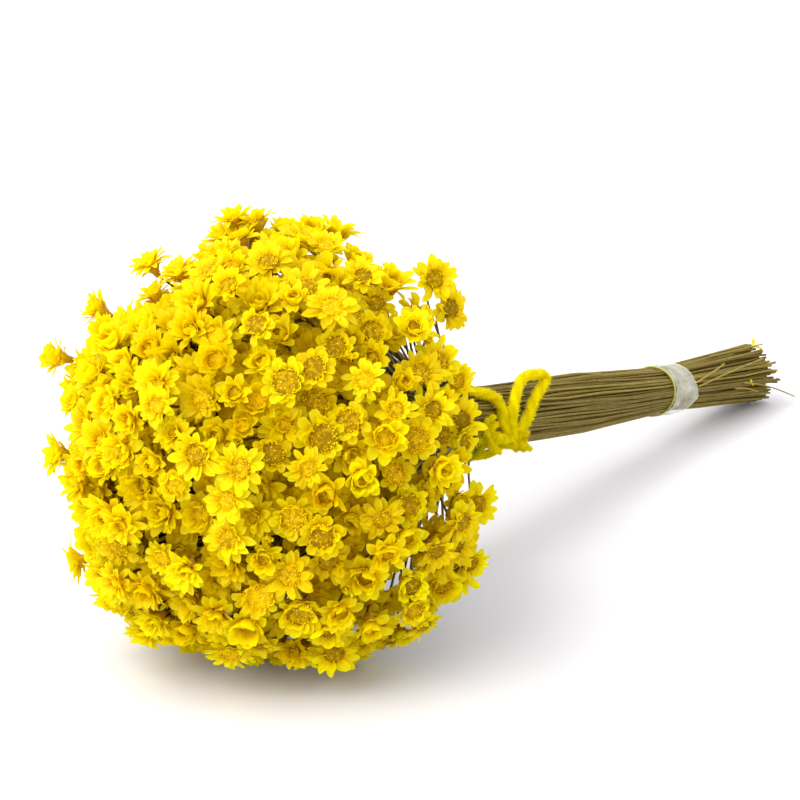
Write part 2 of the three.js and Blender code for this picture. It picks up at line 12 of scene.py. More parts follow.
import bpy
import numpy as np
from numpy.random import default_rng
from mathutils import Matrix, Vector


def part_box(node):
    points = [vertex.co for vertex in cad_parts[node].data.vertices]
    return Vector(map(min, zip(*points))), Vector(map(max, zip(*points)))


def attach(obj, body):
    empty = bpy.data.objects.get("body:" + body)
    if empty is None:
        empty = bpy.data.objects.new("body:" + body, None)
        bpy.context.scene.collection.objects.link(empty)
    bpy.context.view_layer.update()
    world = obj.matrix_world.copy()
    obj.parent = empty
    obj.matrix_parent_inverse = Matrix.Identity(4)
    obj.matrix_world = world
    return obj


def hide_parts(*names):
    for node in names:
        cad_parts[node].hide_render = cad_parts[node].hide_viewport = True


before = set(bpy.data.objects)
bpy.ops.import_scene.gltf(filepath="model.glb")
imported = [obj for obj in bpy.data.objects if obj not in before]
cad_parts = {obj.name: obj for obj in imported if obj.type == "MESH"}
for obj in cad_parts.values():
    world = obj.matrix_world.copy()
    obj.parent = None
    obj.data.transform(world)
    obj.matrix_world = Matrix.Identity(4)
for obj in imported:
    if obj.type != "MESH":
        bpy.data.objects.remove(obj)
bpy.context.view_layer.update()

# %% [markdown]
# ## Camera and light
#
# A long lens looks down on the bunch by fourteen degrees, from the side of the ball. Soft light
# comes from all round. A lamp high on the left makes the shadow fall to the right, and a larger
# one, nearer and half as high, makes the ball's left side glow.

# %% Camera
camera = bpy.data.objects.new("camera", bpy.data.cameras.new("camera"))
camera.location = (-0.70147, -0.37724, 0.239)
camera.rotation_euler = (math.radians(75.9), 0, math.radians(-58.9))
camera.data.lens = 112.5
camera.data.sensor_width = 36
camera.data.shift_y = 13 / 800  # pixels of the picture's 800
bpy.context.collection.objects.link(camera)
bpy.context.scene.camera = camera

# %% Light
BALL_AT = np.array([-0.1415, 0.0045, 0.06])
scene = bpy.context.scene
scene.view_settings.view_transform = "Standard"


def soft_lamp(name, place, size, power, colour):
    """A round lamp that points at the ball."""
    lamp = bpy.data.objects.new(name, bpy.data.lights.new(name, "AREA"))
    lamp.data.shape = "DISK"
    lamp.data.size = size
    lamp.data.energy = power
    lamp.data.color = colour
    lamp.location = place
    aim = BALL_AT - place
    lamp.rotation_euler = (math.atan2(math.hypot(aim[0], aim[1]), -aim[2]), 0,
                           math.atan2(aim[1], aim[0]) - math.pi / 2)
    bpy.context.collection.objects.link(lamp)


soft_lamp("key", (-0.75, 0.7, 1.75), 0.8, 11, (1, 0.985, 0.95))
soft_lamp("left_fill", (-1.4, 0.2, 0.95), 1.4, 26, (1, 0.99, 0.97))
sky = bpy.data.worlds.new("white_room")
sky.use_nodes = True
room_light = sky.node_tree.nodes["Background"].inputs
room_light["Color"].default_value = (0.985, 0.98, 1, 1)
room_light["Strength"].default_value = 1.5
scene.world = sky

# %% [markdown]
# ## Where the blooms are
#
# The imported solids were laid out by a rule: directions scattered by the golden angle, pushed
# apart a little, and turned into places on a lumpy ball. The same rule and draws give every
# bloom's middle and facing here, in millimetres, so that each dressed bloom sits on its solid.
# A check compares the places with the solids' boxes.

# %% The bunch's measures
BALL_RADIUS, BALL_HEIGHT = 62, 60.5
CUT_END, CUT_END_HEIGHT, SAG = 350, 11, 2
# each lump or hollow of the ball: its direction, its height, and how narrow it is
LUMPS = [((0.36, -0.7, -0.62), 6, 2), ((-0.36, 0.7, 0.62), -9, 2), ((0.52, -0.58, 0.62), 5, 12),
         ((-0.55, 0.76, -0.33), -10, 8), ((-0.08, 0.54, 0.84), -6, 8),
         ((0.55, -0.8, 0.2), -7, 14), ((0.44, -0.36, 0.82), -9, 14)]
BALL_TILT, TILT_TOWARDS = math.radians(10), math.radians(-30)
BLOOMS, LAST_ANGLE, DEPTH_SPREAD, LEAN, BLOOM_DEPTH = 340, math.radians(106), 5, 0.34, 5.6
SMALLEST, SIZE_SPREAD = 0.98, 0.42
KIND_SHARES = [("open", 0.55), ("cup", 0.87), ("button", 1)]
BUNDLE = [(80, 17.5), (106, 10.2), (195, 10.6), (266, 8.4), (CUT_END, 12)]  # distance, radius
RINGS = [("inner", 3, 0.12), ("middle", 9, 0.467), ("outer", 15, 1)]  # groups, share of the ball
TWIST, FAN_START, CUT_RAGGED, TIE = 0.45, 80, 9, 112
STEM_PULL, PULL_BY_SIDE = 0.55, 0.45  # how far a bloom faces along its stalk, by its side
PRESS_HEIGHT, PRESS = 20, 0.73
SHIFT = np.array([-141.4664, 4.76, 0])
TURN = 2 * math.pi
GOLDEN = math.pi * (3 - math.sqrt(5))
SIX_ROUND_ONE = 0.866  # how closely things lie that have six neighbours each
SCATTER, SCATTER_ROUNDS, PUSH = 0.9, 6, 0.3
SLOPE = math.asin((BALL_HEIGHT - CUT_END_HEIGHT) / CUT_END)
FRONT = np.array([-math.cos(SLOPE), 0, math.sin(SLOPE)])
SIDE = np.array([0.0, 1, 0])
UP = np.cross(SIDE, FRONT)
MIDDLE = np.array([0, 0, BALL_HEIGHT])
BALL_FRONT = (FRONT * math.cos(BALL_TILT) + math.sin(BALL_TILT)
              * (SIDE * math.cos(TILT_TOWARDS) + UP * math.sin(TILT_TOWARDS)))
BALL_SIDE = SIDE - BALL_FRONT * (SIDE @ BALL_FRONT)
BALL_SIDE = BALL_SIDE / np.linalg.norm(BALL_SIDE)
BALL_AXES = np.array([BALL_SIDE, np.cross(BALL_SIDE, BALL_FRONT), BALL_FRONT])


def draw(item, purpose):
    """A repeatable draw from 0 to 1."""
    x = np.sin(item * 12.9898 + purpose * 78.233 + 4.7) * 43758.5453
    return x - np.floor(x)


def unit(v):
    v = np.asarray(v, float)
    return v / np.maximum(np.linalg.norm(v, axis=-1, keepdims=True), 1e-9)


def ramp(x, stops):
    """A value that runs straight from stop to stop; a stop is a place and its value."""
    return np.interp(x, [s[0] for s in stops], [s[1] for s in stops])


def turned(radius, angle, height):
    """Points at a radius and an angle round the third axis, and at a height along it."""
    return np.stack(np.broadcast_arrays(radius * np.cos(angle), radius * np.sin(angle), height), -1)


def bundle_radius(distance):
    return ramp(distance, BUNDLE)


def in_bundle(distance, radius, angle):
    """Points of the bundle: distance from the ball's middle, radius, angle round the axis."""
    d, r, a = np.broadcast_arrays(np.asarray(distance, float), radius, angle)
    hang = SAG * np.sin(np.pi * np.clip(d, 0, CUT_END) / CUT_END)
    across = SIDE * (r * np.cos(a))[..., None] + UP * (r * np.sin(a))[..., None]
    return MIDDLE - FRONT * d[..., None] + across - np.array([0, 0, 1.0]) * hang[..., None]


def sunk(points, floor=0.12):
    """The ball's underside sinks under its own weight, and nothing goes below the paper."""
    points = np.array(points, float)
    deep = np.maximum(0, PRESS_HEIGHT - points[..., 2])
    points[..., 2] = np.maximum(points[..., 2] + deep * (1 - PRESS), floor)
    return points


# %% The scattered directions
def even_spacing(area, count):
    return math.sqrt(area / count / SIX_ROUND_ONE)


def pushed_apart(points, spacing):
    """Each point makes a small step away from those that are too near."""
    apart = points[:, None] - points[None]
    size = np.linalg.norm(apart, axis=-1, keepdims=True)
    near = (size > 0) & (size < spacing)
    push = np.where(near, apart * (spacing - size) / np.where(size > 0, size, 1), 0).sum(1)
    return points + PUSH * push


def on_unit_ball(polar, angle):
    return turned(np.sin(polar), angle, np.cos(polar))


def directions():
    cap = 1 - math.cos(LAST_ANGLE)
    spacing = even_spacing(TURN * cap, BLOOMS)
    i = np.arange(BLOOMS)
    angle = i * GOLDEN + (draw(i, 1) - 0.5) * SCATTER * spacing
    polar = np.arccos(1 - cap * (i + 0.5) / BLOOMS)
    own = on_unit_ball(np.abs(polar + (draw(i, 2) - 0.5) * SCATTER * spacing), angle)
    for _ in range(SCATTER_ROUNDS):
        moved = unit(pushed_apart(own, spacing))
        polar = np.minimum(np.arccos(moved[:, 2]), LAST_ANGLE)
        own = on_unit_ball(polar, np.arctan2(moved[:, 1], moved[:, 0]))
    return own


def pulled(out, middle):
    """The pull of its own stalk on the way that a bloom faces."""
    return (STEM_PULL - PULL_BY_SIDE * out[..., 1:2]) * unit(middle - in_bundle(TIE, 0, 0))


def bloom_places(own):
    i = np.arange(len(own))
    out = own @ BALL_AXES
    radius = BALL_RADIUS + (draw(i, 3) - 0.5) * DEPTH_SPREAD
    for at, height, sharpness in LUMPS:
        radius = radius + height * np.maximum(0, out @ unit(at)) ** sharpness
    lean = np.stack([draw(i, 4), draw(i, 5), draw(i, 6)], -1) - 0.5
    middle = MIDDLE + out * radius[:, None]
    facing = unit(out + pulled(out, middle) + 2 * LEAN * lean)
    polar = np.arccos(own[:, 2])
    share = (1 - np.cos(polar)) / (1 - math.cos(LAST_ANGLE))
    angle = (np.arctan2(own[:, 1], own[:, 0]) + TURN) % TURN
    blooms = []
    for k in i:
        ring = next(n for n, r in enumerate(RINGS) if share[k] <= r[2] + 1e-9)
        group = min(RINGS[ring][1] - 1, int(angle[k] / TURN * RINGS[ring][1]))
        blooms.append(dict(
            i=int(k), out=out[k], facing=facing[k], centre=middle[k],
            polar=polar[k], angle=angle[k], share=share[k], ring=ring,
            kind=next(n for n, s in KIND_SHARES if draw(k, 7) <= s),
            label=f"{RINGS[ring][0]}_{group + 1:02d}", size=SMALLEST + SIZE_SPREAD * draw(k, 8)))
    return blooms


blooms = bloom_places(directions())
LABELS = sorted({b["label"] for b in blooms})
outside = 0
for b in blooms:
    low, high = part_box("blooms_" + b["label"])
    at = (sunk(b["centre"]) + SHIFT) / 1000
    outside += any(at[k] < low[k] - 0.001 or at[k] > high[k] + 0.001 for k in range(3))
print(len(blooms), "blooms in", len(LABELS), "groups;", outside, "middles outside their solids")

# %% [markdown]
# ## Blooms that lie deeper
#
# Between the blooms of the surface others lie deeper, in the shade, so that one looks into a
# thicket and not through it. Each goes where the surface has its widest gap: of many directions
# the one furthest from all blooms is taken.

# %% Deeper blooms
DEEP_BLOOMS, DEEP_BY, DEPTHS = 390, 11, (1, 2, 1, 1, 3)
TRIES, SHORT_OF_EDGE = 6000, 0.08


def nearest_bloom(out):
    return max(blooms, key=lambda b: b["out"] @ out)


def gap_directions(rng):
    cap = 1 - math.cos(LAST_ANGLE - SHORT_OF_EDGE)
    tried = on_unit_ball(np.arccos(1 - rng.random(TRIES) * cap), rng.random(TRIES) * TURN) @ BALL_AXES
    nearest = (tried @ np.array([b["out"] for b in blooms]).T).max(1)
    chosen = []
    for _ in range(DEEP_BLOOMS):
        best = int(nearest.argmin())
        chosen.append(tried[best])
        nearest = np.maximum(nearest, tried @ tried[best])
    return chosen


def deep_places():
    rng = default_rng(5)
    deep = []
    for k, out in enumerate(gap_directions(rng)):
        near = nearest_bloom(out)
        deeper = DEEP_BY * rng.uniform(0.6, 1.4) * DEPTHS[k % len(DEPTHS)]
        centre = MIDDLE + out * (np.linalg.norm(near["centre"] - MIDDLE) - deeper)
        facing = unit(out + pulled(out, centre) + rng.normal(0, 0.2, 3))
        # painted shade: a deeper bloom gets a high shade value, which darkens its petals
        deep.append(dict(near, i=1000 + k, out=out, centre=centre, facing=facing, kind="deep",
                         size=rng.uniform(1.0, 1.3), shade=rng.uniform(0.55, 1)))
    return deep


deep_blooms = deep_places()
print(len(deep_blooms), "deeper blooms")

# %% [markdown]
# ## Nothing stands in line
#
# On the real ball some blooms stand out and others are tucked in, so every bloom is moved a
# little out or in and sideways. By the knot the ball is pressed in, and the fan of stalks shows.
# A few blooms on longer stalks stand clear of the ball, at listed places from its middle, and
# closed buds fill some gaps.

# %% Uneven blooms and strays
LEFT = unit((-0.516, 0.856, 0))  # where the blooms are fuller, and where painted light makes hearts golden and petals lemon
RIMMED_AT = unit((-0.55, -0.83, 0.1))  # where short petals stand round wide hearts
FULLER_FROM, RIMMED_FROM, BUTTON_SHARE = 0.2, 0.86, 0.7
OUT_AND_IN, SIDEWAYS = 5.0, 1.3
PRESSED_AT, PRESSED_IN, PRESSED_SPREAD = unit((0.12, -0.97, 0.2)), 8, 30
GAPS_FOR_ONE_BUD = 13
# each stray: its place, its kind, and the way it faces where its stalk doesn't say it
STRAYS = [
    ((-28, 52.5, 24), "cup", None), ((-27, 47, 14), "cup", None), ((9, 16, 62), "full", None),
    ((12, 11, 61), "open", None), ((7, 19, 57), "full", None),
    ((50, -26, 41), "open", (-0.45, -0.75, 0.5)), ((54, -29, 32), "open", (-0.3, -0.9, 0.35)),
    ((18, -58, -14), "open", (-0.5, -0.85, 0.1)), ((11, -57, -32), "open", (-0.5, -0.8, 0.1)),
    ((-5, -55, -44), "open", (-0.5, -0.8, -0.1)), ((5, -35, -55), "cup", None),
    ((9.5, -58, 12), "open", (-0.55, -0.8, 0.25)), ((-18, 45, 37), "full", None),
    ((-34, 48, -2), "full", None), ((-37, 40, -32), "full", None), ((-7, 34, 50), "full", None),
    ((24, -9, 58), "open", None), ((-26, -39, -50), "open", (-0.8, -0.5, 0.2)),
    ((-31, -29, -50), "full", (-0.85, -0.3, 0.1))]


def unevenly(bloom, rng):
    out = bloom["out"]
    bloom["centre"] = bloom["centre"] + out * (draw(bloom["i"], 3) - 0.5) * OUT_AND_IN
    aside = rng.normal(0, SIDEWAYS, 3)
    bloom["centre"] = bloom["centre"] + aside - out * (aside @ out)
    pressed = max(0, out @ PRESSED_AT) ** PRESSED_SPREAD
    bloom["centre"] = bloom["centre"] - out * PRESSED_IN * pressed


def stray_places():
    rng = default_rng(8)
    strays = []
    for k, (place, kind, towards) in enumerate(STRAYS):
        out = unit(place)
        centre = MIDDLE + np.array(place, float)
        own_way = out + pulled(out, centre) if towards is None else unit(towards)
        facing = unit(own_way + rng.normal(0, 0.12, 3))
        size = rng.uniform(1.2, 1.35) if kind == "open" else rng.uniform(1.0, 1.2)
        strays.append(dict(nearest_bloom(out), i=2000 + k, out=out, centre=centre, facing=facing,
                           kind=kind, size=size, shade=0.1))
    return strays


def bud_places():
    rng = default_rng(12)
    buds = []
    for k, b in enumerate(deep_blooms[::GAPS_FOR_ONE_BUD]):
        near = nearest_bloom(b["out"])
        radius = np.linalg.norm(near["centre"] - MIDDLE) + rng.uniform(-3, 1.5)
        buds.append(dict(b, i=3000 + k, centre=MIDDLE + b["out"] * radius, kind="bud", shade=0.0,
                         size=rng.uniform(0.8, 1.1)))
    return buds


def dressed_kind(bloom):
    """Fuller stars, with petals that hide their hearts, to one side; rimmed discs in front."""
    fuller = bloom["out"] @ LEFT + 1.1 * (draw(bloom["i"], 11) - 0.5)
    rimmed = bloom["out"] @ RIMMED_AT + 0.5 * (draw(bloom["i"], 12) - 0.5)
    if bloom["kind"] in ("open", "button") and fuller > FULLER_FROM:
        return "full"
    if bloom["kind"] == "open" and rimmed > RIMMED_FROM:
        return "button" if draw(bloom["i"], 13) < BUTTON_SHARE else "cup"
    return bloom["kind"]


strays = stray_places() + bud_places()
for b in blooms:
    b["shade"] = float(np.clip(0.25 - (draw(b["i"], 3) - 0.5) * 0.9, 0, 0.7))  # painted shade: a bloom that is tucked in is darker
    b["kind"] = dressed_kind(b)
for b in blooms + deep_blooms:
    unevenly(b, default_rng(400 + b["i"]))
bouquet = blooms + deep_blooms + strays
print(len(strays), "strays and buds")

# %% [markdown]
# ## Meshes from rows of points
#
# All the plant's parts are sheets and tubes with many near-equal copies, so plain point arrays
# are quicker and more exact than modifiers. Values per point (how far along a petal, how far
# across, which tone) drive the materials.

# %% Mesh helpers
dressed = []


class Batch:
    """Gathers points, faces and values per point for one piece."""

    def __init__(self, *values):
        self.points, self.faces, self.count = [], [], 0
        self.values = {name: [] for name in values}

    def add(self, points, faces, **values):
        """Points in rows and columns; a value is one number for all, or one for each of them."""
        points = np.asarray(points, float)
        for name, store in self.values.items():
            store.append(np.broadcast_to(values[name], points.shape[:-1]).ravel())
        for group in faces:
            self.faces.append(group + self.count)
        self.points.append(points.reshape(-1, 3))
        self.count += len(self.points[-1])

    def piece(self, name, material, slot):
        mesh = bpy.data.meshes.new(name)
        points = (np.concatenate(self.points) + SHIFT) / 1000
        mesh.from_pydata(points.tolist(), [], [f for group in self.faces for f in group.tolist()])
        for value, store in self.values.items():
            layer = mesh.attributes.new(value, "FLOAT", "POINT")
            layer.data.foreach_set("value", np.concatenate(store).astype(np.float32))
        mesh.polygons.foreach_set("use_smooth", [True] * len(mesh.polygons))
        mesh.materials.append(material)
        piece = bpy.data.objects.new(name, mesh)
        bpy.context.collection.objects.link(piece)
        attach(piece, "root")
        dressed.append(piece)
        return piece


def grid_faces(rows, columns):
    """Four-sided faces over a grid of points."""
    k = np.arange(rows * columns).reshape(rows, columns)
    return np.stack([k[:-1, :-1], k[1:, :-1], k[1:, 1:], k[:-1, 1:]], -1).reshape(-1, 4)


def wrapped_faces(rings, sides, closed=False):
    """Four-sided faces over a tube of rings; a closed tube is a ring itself."""
    k = np.arange(rings * sides).reshape(rings, sides)
    if closed:
        k = np.concatenate([k, k[:1]])
    n = np.roll(k, -1, axis=1)
    return np.stack([k[:-1], n[:-1], n[1:], k[1:]], -1).reshape(-1, 4)


def copies(faces, count, points_each):
    """The same faces for many copies of a patch."""
    return (faces[None] + (np.arange(count) * points_each)[:, None, None]).reshape(-1, faces.shape[1])


def smooth_path(points, count, closed=False):
    """Evenly numbered points on a smooth curve through the given ones."""
    p = np.asarray(points, float)
    n = len(p)
    t = np.linspace(0, n if closed else n - 1, count, endpoint=not closed)
    k = np.floor(t).astype(int)
    if not closed:
        k = np.minimum(k, n - 2)
    f = (t - k)[:, None]
    a, b, c, d = (p[j % n] if closed else p[np.clip(j, 0, n - 1)] for j in (k - 1, k, k + 1, k + 2))
    return 0.5 * (2 * b + (c - a) * f + (2 * a - 5 * b + 4 * c - d) * f ** 2
                  + (3 * b - a - 3 * c + d) * f ** 3)


# %% [markdown]
# ## Finishes
#
# Two effects come back in several finishes, so they are node groups. A tone drift makes each
# bloom and stalk a little different and adds soft patches. Fine streaks are the veins and fibres
# of petals and stalks.

# %% Node helpers
def fill(tree, sockets, values):
    """Sets or links sockets, named by number or by name; an underscore stands for a space."""
    for key, value in values.items():
        socket = sockets[key.replace("_", " ") if isinstance(key, str) else key]
        if isinstance(value, bpy.types.NodeSocket):
            tree.links.new(value, socket)
        else:
            socket.default_value = value


def node(tree, kind, inputs, **settings):
    """Adds a node, sets its properties and fills its inputs."""
    made = tree.nodes.new(kind)
    for key, value in settings.items():
        setattr(made, key, value)
    fill(tree, made.inputs, inputs)
    return made


def math_node(tree, operation, *values, clamp=False):
    return node(tree, "ShaderNodeMath", dict(enumerate(values)), operation=operation,
                use_clamp=clamp).outputs[0]


def times(tree, a, b):
    return math_node(tree, "MULTIPLY", a, b)


def mix_colour(tree, amount, a, b):
    return node(tree, "ShaderNodeMix", {0: amount, 6: a, 7: b}, data_type="RGBA").outputs[2]


def spread(tree, value, low, high, to_low=0.0, to_high=1.0):
    """Stretches the values between two ends to two other ends."""
    ends = dict(enumerate((value, low, high, to_low, to_high)))
    return node(tree, "ShaderNodeMapRange", ends).outputs[0]


def texture(tree, kind, **inputs):
    """A texture that is laid through the object's own space."""
    place = node(tree, "ShaderNodeTexCoord", {}).outputs["Object"]
    return node(tree, kind, dict(inputs, Vector=place)).outputs


def colour(r, g, b):
    """A colour from 0–255 display values."""
    return tuple((c / 255 / 12.92) if c / 255 <= 0.04045 else ((c / 255 + 0.055) / 1.055) ** 2.4
                 for c in (r, g, b)) + (1.0,)


def value_of(tree, name):
    """A value that the mesh stores for each point."""
    return node(tree, "ShaderNodeAttribute", {}, attribute_name=name).outputs["Fac"]


def new_group(name, inputs, output, output_kind):
    """A node group; an input without a value is a colour, the others are numbers."""
    tree = bpy.data.node_groups.new(name, "ShaderNodeTree")
    for label, value in inputs.items():
        kind = "NodeSocketColor" if value is None else "NodeSocketFloat"
        socket = tree.interface.new_socket(label, in_out="INPUT", socket_type=kind)
        if value is not None:
            socket.default_value = value
    tree.interface.new_socket(output, in_out="OUTPUT", socket_type=output_kind)
    return tree, tree.nodes.new("NodeGroupInput").outputs, tree.nodes.new("NodeGroupOutput").inputs


def use(tree, group, **inputs):
    return node(tree, "ShaderNodeGroup", inputs, node_tree=group).outputs[0]


def new_material(name, **constants):
    """A material, its nodes and its shader's sockets, which take the constant values."""
    material = bpy.data.materials.new(name)
    material.use_nodes = True
    skin = material.node_tree.nodes["Principled BSDF"].inputs
    fill(material.node_tree, skin, constants)
    return material, material.node_tree, skin


def bumps(tree, skin, height, strength, depth):
    made = node(tree, "ShaderNodeBump", {"Strength": strength, "Distance": depth, "Height": height})
    tree.links.new(made.outputs[0], skin["Normal"])
    return made.outputs[0]


def shine_through(tree, share, **inputs):
    """Mixes in a translucent shader, so that light from behind makes the thing glow."""
    skin = tree.nodes["Principled BSDF"].outputs[0]
    glow = node(tree, "ShaderNodeBsdfTranslucent", inputs).outputs[0]
    blend = node(tree, "ShaderNodeMixShader", {0: share, 1: skin, 2: glow})
    tree.links.new(blend.outputs[0], tree.nodes["Material Output"].inputs["Surface"])


# %% Tone drift group
drift, given, result = new_group("tone_drift", {
    "Colour": None, "Other": None, "Tone": 0.5, "Patch Size": 100.0, "Patch Depth": 0.2,
}, "Colour", "NodeSocketColor")
patch = texture(drift, "ShaderNodeTexNoise", Scale=given["Patch Size"], Detail=2)["Fac"]
patch = times(drift, math_node(drift, "SUBTRACT", patch, 0.5), given["Patch Depth"])
amount = math_node(drift, "ADD", given["Tone"], patch, clamp=True)
drift.links.new(mix_colour(drift, amount, given["Colour"], given["Other"]), result["Colour"])

# %% Fine streaks group
streaks, given, result = new_group("fine_streaks", {
    "Along": 0.0, "Across": 0.0, "Seed": 0.0, "Count": 8.0, "Length": 1.0,
}, "Mask", "NodeSocketFloat")
place = node(streaks, "ShaderNodeCombineXYZ", {
    0: times(streaks, given["Across"], given["Count"]),
    1: times(streaks, given["Along"], given["Length"]),
    2: times(streaks, given["Seed"], 37.0)})
noise = node(streaks, "ShaderNodeTexNoise", {
    "Vector": place.outputs[0], "Scale": 1.0, "Detail": 3.0, "Roughness": 0.6})
streaks.links.new(spread(streaks, noise.outputs["Fac"], 0.32, 0.68), result["Mask"])

# %% [markdown]
# ### Petals
#
# A dried petal is thin waxy paper, golden near the heart and lemon at the tip, with a painted
# highlight along its edges. A tone for each bloom shifts the colour, painted light makes the ball's
# left side more lemon, deeper and tucked-in blooms get painted shade, and a translucent shader lets light
# shine through.

# %% Petal finish
petal_paper, t, skin = new_material("petal_paper", Specular_IOR_Level=0.12)
along, across, tone = value_of(t, "along"), value_of(t, "across"), value_of(t, "tone")
vein = use(t, streaks, Along=along, Across=across, Seed=tone, Count=5, Length=1.6)
body = mix_colour(t, spread(t, along, 0.1, 0.7), colour(242, 207, 0), colour(243, 240, 5))
aged = use(t, drift, Colour=body, Other=colour(243, 216, 0), Tone=tone, Patch_Size=220, Patch_Depth=0.5)
# painted highlight: pale yellow along both long edges of every petal
rim_highlight_mask = math_node(t, "POWER", math_node(t, "ABSOLUTE", across), 4.0)
rim_highlit = mix_colour(t, times(t, rim_highlight_mask, 0.3), aged, colour(255, 250, 50))
veined = mix_colour(t, times(t, vein, 0.22), rim_highlit, colour(234, 204, 0))
# painted shade: deeper and tucked-in blooms mix towards this darker olive gold
deep = mix_colour(t, value_of(t, "shade"), veined, colour(228, 204, 0))
t.links.new(deep, skin["Base Color"])
t.links.new(math_node(t, "MULTIPLY_ADD", vein, 0.2, 0.34), skin["Roughness"])
ridges = bumps(t, skin, vein, 0.35, 0.0002)
shine_through(t, 0.58, Color=deep, Normal=ridges)

# %% Heart finish
heart_grain, t, skin = new_material("heart_grain", Roughness=0.5, Specular_IOR_Level=0.06)
# the tone carries painted light: hearts on the ball's left side lean to the lighter gold
ground = use(t, drift, Colour=colour(136, 106, 0), Other=colour(238, 194, 0),
             Tone=value_of(t, "tone"), Patch_Size=900, Patch_Depth=1.4)
speckled = mix_colour(t, value_of(t, "speck"), ground, colour(252, 226, 24))
t.links.new(speckled, skin["Base Color"])
bumps(t, skin, texture(t, "ShaderNodeTexVoronoi", Scale=2600)["Distance"], 0.7, 0.0003)

# %% Base finish
base_scales, t, skin = new_material("base_scales", Roughness=0.55)
ground = mix_colour(t, value_of(t, "along"), colour(146, 108, 14), colour(224, 172, 10))
aged = use(t, drift, Colour=ground, Other=colour(178, 128, 10), Tone=value_of(t, "tone"),
           Patch_Size=500, Patch_Depth=0.9)
t.links.new(aged, skin["Base Color"])


# %% Stalk finishes
def straw_finish(name, dark, light, by_bloom, groove):
    """Fibrous straw; the part by the bloom may be browner than the rest."""
    material, t, skin = new_material(name, Specular_IOR_Level=0.12)
    along, tone = value_of(t, "along"), value_of(t, "tone")
    fibre = use(t, streaks, Along=along, Across=value_of(t, "across"), Seed=tone, Count=3, Length=40)
    straw = use(t, drift, Colour=dark, Other=light, Tone=tone, Patch_Size=60, Patch_Depth=0.6)
    browned = mix_colour(t, spread(t, along, 0.35, 0.95, 0.8, 0.0), straw, by_bloom)
    worn = mix_colour(t, times(t, fibre, 0.45), browned, groove)
    t.links.new(worn, skin["Base Color"])
    t.links.new(math_node(t, "MULTIPLY_ADD", fibre, 0.25, 0.42), skin["Roughness"])
    bumps(t, skin, fibre, 0.4, 0.0002)
    return material


stalk_straw = straw_finish("stalk_straw", colour(104, 86, 22), colour(148, 130, 52),
                           colour(104, 82, 12), colour(80, 62, 12))
pale_straw = straw_finish("pale_straw", colour(132, 116, 46), colour(170, 154, 76),
                          colour(150, 132, 48), colour(124, 106, 34))

# %% Yarn finish
yarn_fluff, t, skin = new_material("yarn_fluff", Roughness=0.9, Specular_IOR_Level=0.05)
# the tone carries painted shade: the twist's hollows and the tail lean to the darker olive
wool = use(t, drift, Colour=colour(255, 238, 0), Other=colour(186, 178, 0),
           Tone=value_of(t, "tone"), Patch_Size=700, Patch_Depth=0.3)
t.links.new(wool, skin["Base Color"])
bumps(t, skin, texture(t, "ShaderNodeTexNoise", Scale=2400, Detail=4)["Fac"], 0.5, 0.0004)
shine_through(t, 0.4, Color=wool)

# %% Tape and elastic finishes
tape_paper, t, skin = new_material("tape_paper", Roughness=0.42)
cloudy = texture(t, "ShaderNodeTexNoise", Scale=200, Detail=3)["Fac"]
milky = use(t, drift, Colour=colour(222, 223, 208), Other=colour(178, 177, 140), Tone=0.3,
            Patch_Size=120, Patch_Depth=1.2)
t.links.new(milky, skin["Base Color"])
t.links.new(spread(t, cloudy, 0.3, 0.7, 0.32, 0.66), skin["Alpha"])
bumps(t, skin, cloudy, 0.35, 0.0005)

elastic_rubber, t, skin = new_material("elastic_rubber", Roughness=0.5)
rubber = use(t, drift, Colour=colour(172, 174, 86), Other=colour(136, 134, 60), Tone=0.4,
             Patch_Size=400, Patch_Depth=0.9)
t.links.new(rubber, skin["Base Color"])
bumps(t, skin, texture(t, "ShaderNodeTexNoise", Scale=900, Detail=2)["Fac"], 0.3, 0.0001)

# %% [markdown]
# ### The paper it lies on
#
# The underlay is a wide grey sheet that the strong light from all round turns white. Where the
# bunch keeps some of that light away, a soft shadow is left.

# %% Paper underlay
paper_white, t, skin = new_material("paper_white", Roughness=0.7)
mottle = texture(t, "ShaderNodeTexNoise", Scale=1.7, Detail=1)["Fac"]
t.links.new(mix_colour(t, mottle, (0.63, 0.622, 0.643, 1), (0.64, 0.634, 0.638, 1)),
            skin["Base Color"])
bpy.ops.mesh.primitive_circle_add(vertices=96, radius=6, fill_type="NGON", location=(0, 0, 0))
paper = bpy.context.object
paper.name = "paper_underlay"
paper.data.materials.append(paper_white)

# %% [markdown]
# ## Petals
#
# The blooms of the surface have four or five rings of petals: short low ones that hug the base,
# long ones that make the star, and a collar round the heart. The others have two. In a cup the
# inner petals stand up and curl in. Each petal is one bent sheet, a little hollow like a spoon,
# whose rise changes from root to tip.

# %% One ring of petals
ALONG = np.array([0, 0.3, 0.55, 0.75, 0.9, 1.0])
OVER = np.array([-1.0, 0, 1])
POINTED = [(0, 0.55), (0.25, 0.82), (0.5, 1), (0.7, 0.95), (0.85, 0.7), (0.94, 0.42), (1, 0.06)]
OVAL = [(0, 0.5), (0.25, 0.8), (0.5, 1), (0.7, 0.94), (0.85, 0.7), (0.94, 0.4), (1, 0.06)]
ROUND = [(0, 0.5), (0.25, 0.78), (0.5, 0.97), (0.72, 1), (0.88, 0.8), (0.96, 0.5), (1, 0.14)]
MISSING = 0.12  # the share of petals that have fallen off
LENGTHS, WIDTHS = (0.74, 1.14), (0.8, 1.15)  # shortest and longest, narrowest and widest
RISE_SPREAD, CURL_SPREAD, BEND_SPREAD, ROLL_SPREAD = 11, 22, 0.14, 0.24  # the first two in degrees


